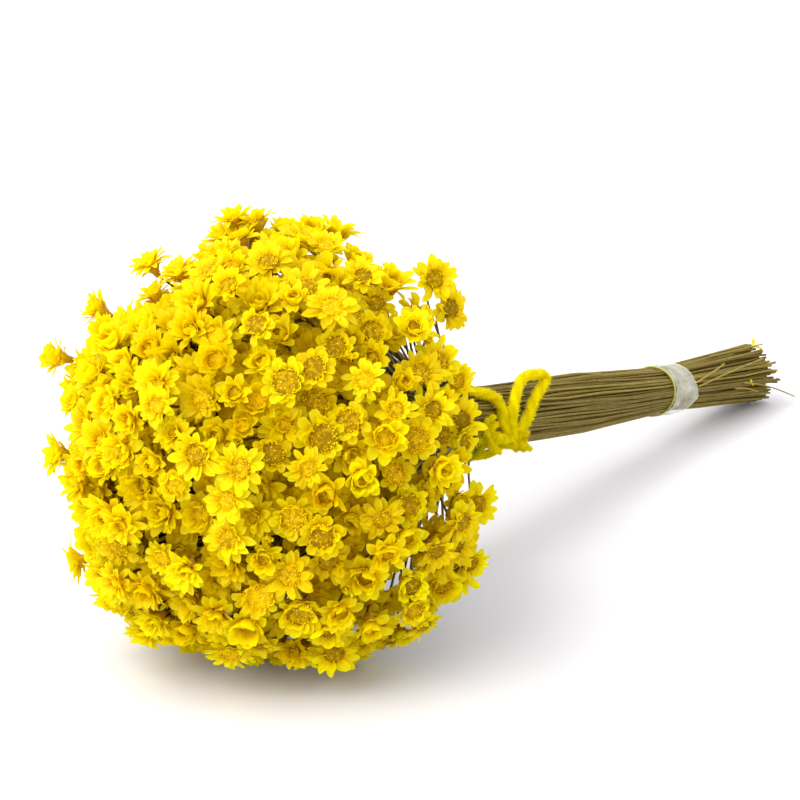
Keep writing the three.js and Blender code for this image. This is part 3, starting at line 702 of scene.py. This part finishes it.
def petal_ring(rng, count, root, height, length, width, rise, curl, hollow, outline):
    """Petals of one ring in the bloom's own axes, each a bent sheet of points."""
    turn = (np.arange(count) + rng.uniform(-0.25, 0.25, count)) / count * TURN + rng.uniform(0, TURN)
    turn = turn[rng.random(count) > MISSING]
    count = len(turn)
    long = (length * rng.uniform(*LENGTHS, count))[:, None]
    wide = (width / 2 * rng.uniform(*WIDTHS, count))[:, None]
    start = np.radians(rise + rng.normal(0, RISE_SPREAD, count))[:, None]
    end = np.radians(curl + rng.normal(0, CURL_SPREAD, count))[:, None]
    bend = rng.normal(0, BEND_SPREAD, count)[:, None]
    roll = rng.normal(0, ROLL_SPREAD, count)[:, None, None]
    slope = start + (end - start) * ALONG
    step = np.diff(ALONG) * long
    middle = (slope[:, 1:] + slope[:, :-1]) / 2
    zero = np.zeros((count, 1))
    away = root + np.concatenate([zero, np.cumsum(np.cos(middle) * step, 1)], 1)
    up = height + np.concatenate([zero, np.cumsum(np.sin(middle) * step, 1)], 1)
    half = (ramp(ALONG, outline) * wide)[..., None]
    lift = hollow * half * OVER ** 2 + roll * half * OVER
    radial = away[..., None] - np.sin(slope)[..., None] * lift
    top = up[..., None] + np.cos(slope)[..., None] * lift
    aside = half * OVER + (bend * ALONG ** 2 * long)[..., None]
    c, s = np.cos(turn)[:, None, None], np.sin(turn)[:, None, None]
    return np.stack([radial * c - aside * s, radial * s + aside * c, top], -1)


# kind: rings of (count, root, height, length, width, rise, curl, hollow, outline)
PETAL_RINGS = {"open": [
    (8, 1.3, -3.0, 3.3, 1.7, 58, 40, 0.3, POINTED),
    (12, 1.9, -1.2, 4.3, 2.0, 26, 2, 0.34, OVAL),
    (10, 2.1, -0.7, 3.5, 1.9, 42, 16, 0.4, OVAL),
    (8, 2.2, -0.5, 2.1, 1.5, 56, 46, 0.4, OVAL),
    (14, 2.1, -0.4, 1.0, 0.6, 76, 96, 0.3, POINTED),
], "cup": [
    (8, 1.3, -3.4, 3.2, 1.7, 62, 48, 0.3, POINTED),
    (11, 1.8, -1.7, 3.9, 2.4, 46, 22, 0.36, OVAL),
    (10, 2.0, -1.1, 3.3, 2.5, 66, 88, 0.45, ROUND),
    (7, 1.9, -0.9, 2.5, 2.1, 80, 126, 0.45, ROUND),
    (11, 1.6, -0.8, 1.0, 0.6, 80, 110, 0.3, POINTED),
], "full": [
    (9, 1.4, -3.2, 3.5, 1.6, 52, 32, 0.3, POINTED),
    (14, 1.7, -1.8, 4.6, 2.0, 34, 12, 0.3, POINTED),
    (13, 1.7, -1.4, 4.1, 2.0, 50, 34, 0.34, POINTED),
    (11, 1.5, -1.1, 3.2, 1.8, 66, 60, 0.36, POINTED),
    (8, 1.2, -0.9, 2.2, 1.4, 80, 88, 0.4, POINTED),
], "button": [
    (8, 1.5, -3.0, 3.0, 1.7, 56, 40, 0.3, POINTED),
    (12, 2.3, -1.5, 3.2, 2.2, 36, 12, 0.32, ROUND),
    (12, 2.6, -1.0, 2.3, 1.9, 58, 66, 0.42, ROUND),
    (16, 2.7, -0.8, 1.3, 0.8, 76, 106, 0.3, POINTED),
], "deep": [
    (12, 1.9, -1.2, 3.9, 2.5, 34, 8, 0.28, ROUND),
    (8, 2.0, -0.5, 3.0, 2.2, 54, 30, 0.34, ROUND),
], "bud": [
    (6, 0.5, -2.6, 3.6, 2.0, 72, 106, 0.5, ROUND),
    (5, 0.4, -2.4, 3.3, 1.8, 82, 114, 0.5, ROUND),
], "scrap": [(3, 0.2, 0, 3.0, 1.4, 50, 20, 0.3, POINTED)]}
BUD_ROOTED = 0.55  # how far along a bud's petals begin, so that they are lemon all over


def into_place(bloom, points):
    """From a bloom's own axes to its place on the ball."""
    over = unit(np.cross(bloom["facing"], UP))
    axes = np.array([over, np.cross(bloom["facing"], over), bloom["facing"]])
    placed = bloom["centre"] + bloom["size"] * points @ axes
    return placed if bloom["kind"] == "scrap" else sunk(placed)


def add_petals(batch, bloom, rng):
    # painted light: petals on the ball's left side lean to the lemon colour
    tone = np.clip(rng.normal(0.35, 0.25) - 0.1 * (bloom["out"] @ LEFT), 0, 1)
    openness, lopsided = rng.normal(0, 8), rng.uniform(0, 0.22)
    rooted = BUD_ROOTED if bloom["kind"] == "bud" else 0
    for number, (*form, rise, curl, hollow, outline) in enumerate(PETAL_RINGS[bloom["kind"]]):
        points = petal_ring(rng, *form, rise + openness, curl + openness * 1.5, hollow, outline)
        points[..., 2] += lopsided * points[..., 0] * (0.4 + 0.2 * number)
        count, rows, columns = points.shape[:3]
        own = np.clip(tone + rng.normal(0, 0.14, count), 0, 1)
        # painted shade: the lowest ring, which hugs the base under the others, is darker
        low = 0.35 if number == 0 else 0
        batch.add(into_place(bloom, points), [copies(grid_faces(rows, columns), count, rows * columns)],
                  along=rooted + (1 - rooted) * ALONG[:, None], across=OVER, tone=own[:, None, None],
                  shade=min(1, bloom["shade"] + low))


# %% All the petals
for label in LABELS:
    batch = Batch("along", "across", "tone", "shade")
    for b in (b for b in bouquet if b["label"] == label):
        add_petals(batch, b, default_rng(100 + b["i"]))
    piece = batch.piece("petals_" + label, petal_paper, "petals")
    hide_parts("blooms_" + label)
print("petals:", sum(2 * len(piece.data.polygons) for piece in dressed), "triangles")

# %% [markdown]
# ## Hearts
#
# The heart of a bloom is a low cushion of tiny florets in the spiral order of real daisies, with
# bright specks on the rim. A small pyramid for each floret gives real sparkle, which a bump
# alone would not.

# %% Heart of one bloom
# kind: radius, height of the cushion, how high it sits, and its number of florets
HEARTS = {"open": (2.5, 0.55, -0.5, 64), "cup": (2.2, 0.4, -0.9, 64), "button": (3.0, 0.35, -0.6, 90),
          "deep": (2.4, 0.5, -0.5, 0), "full": (1.5, 0.3, -1.1, 26), "bud": (0.6, 0.1, -1.5, 0)}
RIM_FROM, RIM_BRIGHT, INSIDE_BRIGHT = 0.78, {"open": 0.35, "button": 0.7}, 0.03
BUTTON_DARKER = 0.12


def add_heart(batch, bloom, rng):
    kind = bloom["kind"]
    wide, dome, low, count = HEARTS[kind]
    sides, rings = 14, np.array([0.02, 0.35, 0.7, 0.92, 1.0])[:, None]
    height = low + dome * (1 - rings ** 2) - 0.5 * (rings > 0.95)
    cushion = turned(wide * rings, np.arange(sides) / sides * TURN, height)
    darker = BUTTON_DARKER if kind == "button" else 0
    # painted light: hearts on the ball's left side are lighter gold
    tone = np.clip(rng.normal(0.5, 0.24) + 0.45 * (bloom["out"] @ LEFT) - darker, 0, 1)
    batch.add(into_place(bloom, cushion), [wrapped_faces(len(rings), sides)[:, ::-1]],
              tone=tone * 0.6, speck=0)
    if not count:
        return
    k = np.arange(count)
    out = np.sqrt((k + 0.5) / count)
    at = wide * out * rng.uniform(0.97, 1.03, count)
    turn = k * GOLDEN + rng.normal(0, 0.04, count)
    foot = turned(at, turn, low + dome * (1 - out ** 2) - 0.08)
    rim = out > RIM_FROM
    tall = np.where(rim, rng.uniform(0.4, 0.85, count), rng.uniform(0.22, 0.42, count))
    half = np.where(rim, 0.24, 0.26) * wide / 2.5 * rng.uniform(0.7, 1.25, count)
    ring = foot[:, None] + turned(half[:, None], np.arange(4) / 4 * TURN, 0)
    tip = foot * (1.02, 1.02, 1) + tall[:, None] * (0, 0, 1)
    faces = copies(np.array([[0, 1, 4], [1, 2, 4], [2, 3, 4], [3, 0, 4]]), count, 5)
    rim_bright = rng.random(count) < RIM_BRIGHT.get(kind, 0.5)
    bright = np.where(rim, rim_bright, rng.random(count) < INSIDE_BRIGHT) * 0.9
    own = np.clip(tone + rng.normal(0.08, 0.22, count), 0, 1)
    batch.add(into_place(bloom, np.concatenate([ring, tip[:, None]], 1)), [faces],
              tone=own[:, None], speck=bright[:, None] * np.array([0.3, 0.3, 0.3, 0.3, 1.0]))


def dress_rings(name, material, group, add, seed, *values):
    """One piece for each ring of blooms, with the same part for every bloom."""
    for number, ring in enumerate(RINGS):
        batch = Batch(*values)
        for b in (b for b in group if b["ring"] == number):
            add(batch, b, default_rng(seed + b["i"]))
        piece = batch.piece(f"{name}_{ring[0]}", material, "petals")
        print(piece.name, len(piece.data.polygons), "faces")


dress_rings("hearts", heart_grain, bouquet, add_heart, 900, "tone", "speck")

# %% [markdown]
# ## Bases
#
# Under the petals sits a small cone of dry brown scales that narrows to the stalk. It shows
# where blooms are seen from the side. It is a turned profile whose wavy steps are the scales.

# %% Base of one bloom
BASE_PROFILE = [(0, 0.42), (0.08, 0.75), (0.36, 1.05), (0.42, 1.3), (0.72, 1.7), (0.78, 1.95),
                (1, 2.1)]
BASE_HEIGHT, BASE_WIDTHS = 4.6, {"button": 1.15, "bud": 0.55}


def add_base(batch, bloom, rng):
    sides, rings = 10, len(BASE_PROFILE)
    angle = np.arange(sides) / sides * TURN
    rise, reach = np.array(BASE_PROFILE).T[..., None]
    wave = angle * 5 + np.arange(rings)[:, None] * 1.9
    radius = reach * BASE_WIDTHS.get(bloom["kind"], 1) * (1 + 0.07 * np.cos(wave) * (rise > 0.1))
    points = turned(radius, angle, -BLOOM_DEPTH + rise * BASE_HEIGHT + 0.12 * np.sin(wave))
    batch.add(into_place(bloom, points), [wrapped_faces(rings, sides)], along=rise,
              tone=np.clip(rng.normal(0.4, 0.2), 0, 1))


dress_rings("bases", base_scales, blooms + strays, add_base, 1700, "along", "tone")

# %% [markdown]
# ## Stalks
#
# Each bloom of the surface has its own stalk all the way to the cut end, a little under a
# millimetre thick in the bundle and thinner towards the bloom. The stalks keep the order of the
# blooms on the ball, evenly packed, and turn a little round the axis. At the yarn they start to
# fan out. The stalks of the other blooms end inside the bundle.

# %% Places across the bundle
PACKING_ROUNDS, FARTHEST_OUT = 60, 0.985


def packed_places():
    share = np.array([b["share"] for b in blooms])
    angle = np.array([b["angle"] for b in blooms])
    places = np.stack([np.sqrt(share) * np.cos(angle), np.sqrt(share) * np.sin(angle)], -1) * 0.98
    for _ in range(PACKING_ROUNDS):
        places = pushed_apart(places, even_spacing(math.pi, len(blooms)))
        reach = np.linalg.norm(places, axis=1, keepdims=True)
        places = np.where(reach > FARTHEST_OUT, places / reach * FARTHEST_OUT, places)
    return places


places = packed_places()
place_radius = np.linalg.norm(places, axis=1)
place_angle = np.arctan2(places[:, 1], places[:, 0])
print("stalks packed; outermost at", round(float(place_radius.max()), 3), "of the radius")

# %% Paths of the stalks
STATIONS = np.array([TIE, 128, 146, 168, 195, 222, 248, 268, 292, 318, 340])
FAN_STEPS, THIN, THICKER_BY, ABOVE_PAPER = 9, 0.36, 0.1, 0.5


def fan_path(start, bloom):
    """From a place in the tied bundle in one curve to the foot of a bloom."""
    foot = bloom["centre"] - bloom["facing"] * BLOOM_DEPTH * bloom["size"] * 0.98
    length = np.linalg.norm(foot - start)
    leave = FRONT * length * 0.75
    arrive = unit(unit(foot - start) + 0.55 * bloom["facing"]) * length * 0.8
    f = np.linspace(1, 0, FAN_STEPS)[:, None]
    return sunk((2 * f ** 3 - 3 * f ** 2 + 1) * start + (f ** 3 - 2 * f ** 2 + f) * leave
                + (-2 * f ** 3 + 3 * f ** 2) * foot + (f ** 3 - f ** 2) * arrive, ABOVE_PAPER)


def stalk_path(k, bloom, rng):
    end = CUT_END - CUT_RAGGED * draw(bloom["ring"] * 31 + int(bloom["label"][-2:]) - 1, 9)
    end += np.clip(rng.normal(0, 3.4), -8, 6)
    stations = np.append(STATIONS[STATIONS < end - 4], end)
    turn = place_angle[k] + TWIST * (stations - FAN_START) / (CUT_END - FAN_START)
    wander = np.cumsum(rng.normal(0, 0.035, len(stations)))
    off = np.clip(place_radius[k] + np.cumsum(rng.normal(0, 0.018, len(stations))), 0, 1)
    bundle = in_bundle(stations, off * (bundle_radius(stations) - 0.35), turn + wander)
    fan = fan_path(bundle[0], bloom)[:-1]
    return np.concatenate([fan, np.maximum(bundle, [-999, -999, ABOVE_PAPER])])


def add_tube(batch, path, radius, sides, across, tone):
    """A tube with closed ends; its frame doesn't spin, and the value along counts decimetres."""
    rows = len(path)
    tangent = unit(np.gradient(path, axis=0))
    first = unit(np.cross(tangent, across))
    second = np.cross(first, tangent)
    turn = np.arange(sides) / sides
    angle = (turn * TURN)[:, None]
    radius = np.broadcast_to(radius, rows)[:, None, None]
    points = path[:, None] + radius * (first[:, None] * np.cos(angle) + second[:, None] * np.sin(angle))
    ends = [np.arange(sides)[None, ::-1] + (rows - 1) * sides, np.arange(sides)[None]]
    step = np.linalg.norm(np.diff(path, axis=0), axis=1)
    along = np.concatenate([[0], np.cumsum(step)]) / 100
    batch.add(points, [wrapped_faces(rows, sides), *ends], along=along[:, None],
              across=np.abs(turn * 2 - 1), tone=tone)


def sidewards(bloom):
    return unit(np.cross(FRONT, bloom["out"])) if bloom["polar"] > 0.15 else SIDE


# %% All the stalks
stalk_batches = {label: Batch("along", "across", "tone") for label in LABELS}
for k, b in enumerate(blooms):
    rng = default_rng(2600 + b["i"])
    path = stalk_path(k, b, rng)
    far = np.linspace(0, 1, len(path))
    radius = (THIN + THICKER_BY * np.clip(far * 3, 0, 1)) * rng.uniform(0.88, 1.12)
    add_tube(stalk_batches[b["label"]], path, radius, 5, sidewards(b), rng.random())
for b in deep_blooms + strays:
    rng = default_rng(b["i"])
    start = in_bundle(TIE + 12, 8.5 * math.sqrt(b["share"]), b["angle"] + rng.normal(0, 0.15))
    add_tube(stalk_batches[b["label"]], fan_path(start, b), THIN, 4, sidewards(b), rng.random())
for label, batch in stalk_batches.items():
    piece = batch.piece("stalks_" + label, stalk_straw, "stems")
    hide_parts("stems_" + label)
print(len(stalk_batches), "groups of stalks")

# %% [markdown]
# ## Yarn
#
# A soft woollen yarn lies once round the bundle and is tied into a small bow: one standing
# loop, and two ends that have frayed into flat tufts. A lumpy tube gives the yarn's body, and
# thousands of thin curved fibres make it fluffy.

# %% Paths of the yarn
YARN_RADIUS, WRAP_GAP = 1.65, 0.4
WRAP_THICK, LOOP_THICK, KNOT_THICK, TUFT_THICK = 1.45, 1.5, 1.35, 1.6
WRAP = [(122, 0, 203), (118.2, 0, 181), (117.8, 0, 162), (116.8, 0, 146), (115, 0, 136),
        (110.2, 0, 129), (106, 0, 122), (102, 0, 90), (104, 0, 45), (110, 0, 0), (116, 0, -45),
        (120, 0, -85), (122, 0, -120)]
LOOP = [(124.5, 1.6, 205), (120.4, 2, 169), (122.7, 2.4, 152), (129.4, 3, 133), (135.2, 4, 124),
        (141.8, 4.5, 123), (148.3, 4, 123), (149.6, 3, 129), (144.2, 2.2, 139),
        (137.3, 1.6, 153), (133, 1.4, 169), (128.9, 1.4, 185), (124.5, 1.5, 203)]
KNOT = [(121, 0.6, 214), (123, 2.6, 208), (127, 2.8, 203), (127, 1.0, 196), (123, 0.8, 198),
        (121, 2.8, 206)]
TO_LEFT_TUFT = [(124, 1.4, 204), (116, 1.2, 200)]
LEFT_TUFT, RIGHT_TUFT = (107, 0.6, 195), (125, 2.6, 206)
# the tips of a tuft's lobes and the points of the tail: across and up from the tuft's heart
LEFT_LOBES = [(2.4, 6.4), (0.6, 5.2), (3.6, 3.6), (-4.8, -2.0), (-3.0, 1.2), (-2.6, -3.4),
              (4.6, -5.8), (1.6, -3.6), (3.6, -2.6), (4.0, 0.4), (-1, 2.5)]
RIGHT_LOBES = [(4.2, 2.8), (2.2, 3.4), (3.6, 0.2), (5.2, -2.6), (2.6, -2.8), (-0.6, -2.4)]
TAIL = [(-0.8, -2.6), (-2.6, -4.8), (-4.4, -6.4), (-6.2, -8.2)]
TUFT_ACROSS, TUFT_UP = unit((0.66, -0.75, 0)), np.array([0, 0, 1.0])  # the flat of a frayed end
FIBRE_LONG, FIBRE_WIDE, FIBRES, TUFT_FIBRES, TAIL_FIBRES = 1.0, 0.09, 70, 80, 40


def on_bundle(spots, clear=WRAP_GAP + YARN_RADIUS):
    """Points from their distance, their height over the bundle and their angle in degrees."""
    spots = np.array(spots, float)
    lies = bundle_radius(spots[:, 0]) + clear + spots[:, 1]
    return in_bundle(spots[:, 0], lies, np.radians(spots[:, 2]))


def turning_tube(path, radius, sides, closed=False):
    """A tube whose frame is carried along the path without spinning."""
    onwards = np.roll(path, -1, 0) - np.roll(path, 1, 0) if closed else np.gradient(path, axis=0)
    tangent = unit(onwards)
    side = unit(np.cross(tangent[0], (0.3, 0.2, 1)))
    rings = []
    angle = np.arange(sides)[:, None] / sides * TURN
    for p, t in zip(path, tangent):
        side = unit(side - t * (side @ t))
        rings.append(p + radius * (np.cos(angle) * side + np.sin(angle) * np.cross(t, side)))
    return np.array(rings)


# %% Yarn body and its fibres
def add_fibres(batch, roots, outwards, rng, tone):
    """Thin curved ribbons on a surface."""
    count = len(roots)
    lean = unit(outwards + rng.normal(0, 0.75, (count, 3)))
    bend = unit(rng.normal(0, 1, (count, 3)))
    long = (FIBRE_LONG * rng.uniform(0.4, 1.2, count))[:, None]
    flat = unit(np.cross(lean, bend)) * FIBRE_WIDE / 2
    middle = roots + lean * long * 0.5 + bend * long * 0.08
    tip = roots + lean * long * 0.92 + bend * long * 0.38
    points = np.stack([roots - flat, roots + flat, middle + flat * 0.8, middle - flat * 0.8,
                       tip + flat * 0.15], 1)
    faces = [copies(np.array([corners]), count, 5) for corners in ([0, 1, 2, 3], [3, 2, 4])]
    batch.add(points, faces, tone=np.clip(tone + rng.normal(0, 0.25, count), 0, 1)[:, None])


def add_yarn(batch, path, radius, rng, closed=False, fibres=FIBRES, tone=0.2):
    sides, rows = 12, len(path)
    rings = turning_tube(path, 1.0, sides, closed)
    row, side = np.indices((rows, sides))
    twist = np.cos(2 * (side / sides * TURN) + row * 0.55)
    swell = 1 + 0.08 * twist + rng.normal(0, 0.03, (rows, sides))
    centre = path[:, None]
    points = centre + (rings - centre) * np.broadcast_to(radius, rows)[:, None, None] * swell[..., None]
    # painted shade: the hollows of the twist lean to the darker olive
    batch.add(points, [wrapped_faces(rows, sides, closed)], tone=np.clip(tone + 0.2 - 0.25 * twist, 0, 1))
    pick = rng.integers(0, rows, rows * fibres), rng.integers(0, sides, rows * fibres)
    add_fibres(batch, points[pick], unit(rings[pick] - path[pick[0]]), rng, tone)


bow = Batch("tone")
rng = default_rng(31)
add_yarn(bow, smooth_path(on_bundle(WRAP), 90, closed=True), WRAP_THICK, rng, closed=True)
add_yarn(bow, smooth_path(on_bundle(LOOP), 110), LOOP_THICK, rng)
add_yarn(bow, smooth_path(on_bundle(KNOT), 26), KNOT_THICK, rng)


# %% Frayed ends
def clear_of_bundle(points, lift):
    """Points pushed out of the bundle, so that they lie on it."""
    distance = (MIDDLE - points) @ FRONT
    axis = in_bundle(distance, 0, 0)
    radial = points - axis
    reach = np.linalg.norm(radial, axis=-1, keepdims=True)
    return axis + radial * np.maximum(1, (bundle_radius(distance) + lift)[..., None] / reach)


def add_lobe(batch, path, thick, rng, tone, fibres):
    """One pointed lobe of a frayed end: a tapered strand under a coat of fibres."""
    rows = 12
    path = clear_of_bundle(smooth_path(path, rows), 0.8 + thick / 2)
    f = np.linspace(0, 1, rows)
    radius = thick * (0.25 + 0.75 * (1 - f) ** 0.7) * (0.75 + 0.25 * np.minimum(1, f * 4))
    add_yarn(batch, path, radius, rng, fibres=fibres, tone=tone)


def add_tuft(batch, heart, lobes, thick, rng):
    """A frayed end: lobes that run from its heart to points given across and up."""
    for across, up in lobes:
        tip = heart + TUFT_ACROSS * across + TUFT_UP * up
        bend = (heart + tip) / 2 + rng.normal(0, 0.5, 3)
        add_lobe(batch, [heart, bend, tip], thick * rng.uniform(0.85, 1.1), rng, 0.22, TUFT_FIBRES)


left_heart, right_heart = on_bundle([LEFT_TUFT])[0], on_bundle([RIGHT_TUFT])[0]
add_yarn(bow, smooth_path([*on_bundle(TO_LEFT_TUFT), left_heart], 14), LOOP_THICK, rng)
add_tuft(bow, left_heart, LEFT_LOBES, LOOP_THICK, rng)
add_tuft(bow, right_heart, RIGHT_LOBES, TUFT_THICK, rng)
tail = [left_heart + TUFT_ACROSS * across + TUFT_UP * up for across, up in TAIL]
# painted shadow: the tail, which lies in shadow, gets the darkest tone
add_lobe(bow, tail, LOOP_THICK, rng, 1.0, TAIL_FIBRES)
piece = bow.piece("yarn_fluffy_bow", yarn_fluff, "yarn")
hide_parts("yarn_bow")
print("yarn:", len(piece.data.polygons), "faces")

# %% [markdown]
# ## Tape and elastic
#
# Near the cut end a band of thin milky paper tape holds the stalks, with a rubber band at its
# edge. The tape is one crinkled sleeve with its end lapped over and a folded corner that points
# to the cut end. Seen through it, the stalks are dull streaks.

# %% Tape sleeve
TAPE_FROM, TAPE_WIDTH, TAPE_GAP, TAPE_TURNS, LAP_LIFT, WRINKLE = 256, 18, 0.45, 1.12, 0.45, 0.2
CORNER_AT, CORNER_WIDE, CORNER_LONG = math.radians(198), math.radians(40), 2.6
TAPE_ROWS, TAPE_COLUMNS = 26, 180


def sleeve(rng):
    """A crumpled band round the bundle."""
    d = np.linspace(0, 1, TAPE_ROWS)[:, None]
    a = np.linspace(0, 1, TAPE_COLUMNS)[None]
    angle = a * TURN * TAPE_TURNS
    ragged = 0.5 * np.sin(angle * 2 + 1) + 0.35 * np.sin(angle * 5)
    corner = CORNER_LONG * d * np.maximum(0, 1 - np.abs(angle - CORNER_AT) / CORNER_WIDE)
    folds = 0
    for waves in (3, 5, 9, 14, 22):
        slant = angle * waves + rng.uniform(0, 6) + d * rng.uniform(-9, 9)
        folds = folds + (1 - 2 * np.abs(np.sin(slant))) / waves ** 0.5 * WRINKLE
    wide = max(bundle_radius(TAPE_FROM), bundle_radius(TAPE_FROM + TAPE_WIDTH))
    return in_bundle(TAPE_FROM + d * TAPE_WIDTH + ragged + corner,
                     wide + TAPE_GAP + folds + LAP_LIFT * a, angle)


tape = Batch()
tape.add(sleeve(default_rng(77)), [grid_faces(TAPE_ROWS, TAPE_COLUMNS)])
piece = tape.piece("tape_sleeve", tape_paper, "tape")
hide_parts("paper_tape")

# %% Elastic band
ELASTIC_RADIUS, ELASTIC_STEPS, ELASTIC_SIDES = 0.36, 72, 8
turn = np.linspace(0, TURN, ELASTIC_STEPS, endpoint=False)
ring = in_bundle(TAPE_FROM - 0.6 + 0.3 * np.sin(turn * 3), bundle_radius(TAPE_FROM - 2) + 0.3, turn)
band = Batch()
band.add(turning_tube(ring, ELASTIC_RADIUS, ELASTIC_SIDES, closed=True),
         [wrapped_faces(ELASTIC_STEPS, ELASTIC_SIDES, closed=True)])
piece = band.piece("elastic_ring", elastic_rubber, "elastic")
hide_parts("elastic_band")

# %% [markdown]
# ## Loose stalks at the cut end
#
# A few paler stalks lie over the bundle, one of them kinked, and one sticks out past the cut
# end. They follow points given round the bundle, as the yarn does. Two scraps of petal cling there.

# %% Loose stalks and scraps of petal
PALE_STALKS = [
    [(274, 0.1, 163), (290, 0.3, 146), (298, 0.9, 138), (300, 1.6, 136), (299, 0.6, 140)],
    [(276, 0.1, 172), (306, 0.3, 152), (336, 0.6, 140)],
    [(315, 0.2, 179.5), (328, 0.6, 187), (341, 2.2, 196), (356, 5.5, 206)],
    [(308, 0.1, 189), (318, 0.5, 192), (328, 1.2, 200)],
    [(150, 0.1, 100), (170, 0.5, 101), (186, 1.2, 108), (204, 0.1, 110)],
    [(300, 0.1, 101), (320, 0.4, 105), (345, 1.4, 112)],
]
PALE_STEPS, PALE_TIP = 24, 0.24
SCRAPS = [((340, 0.2, 104), 1.05), ((321, 0.1, 183), 0.5)]  # the place and the size
loose = Batch("along", "across", "tone")
rng = default_rng(41)
for spots in PALE_STALKS:
    path = smooth_path(on_bundle(spots, 0.35), PALE_STEPS)
    add_tube(loose, path, np.linspace(THIN, PALE_TIP, PALE_STEPS), 6, UP, rng.random())
loose.piece("stalks_loose", pale_straw, "stems")
scraps = Batch("along", "across", "tone", "shade")
for k, (spot, size) in enumerate(SCRAPS):
    scrap = dict(centre=on_bundle([spot], 0.6)[0], facing=unit(UP - 2 * FRONT), out=UP, kind="scrap",
                 shade=0.0, size=size)
    add_petals(scraps, scrap, default_rng(50 + k))
scraps.piece("petals_scraps", petal_paper, "petals")
print(len(PALE_STALKS), "loose stalks,", len(SCRAPS), "scraps")

# %% Size and finish
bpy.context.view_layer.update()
triangles = sum(len(p.vertices) - 2 for piece in dressed for p in piece.data.polygons)
print(len(dressed), "dressed pieces of", triangles, "triangles")
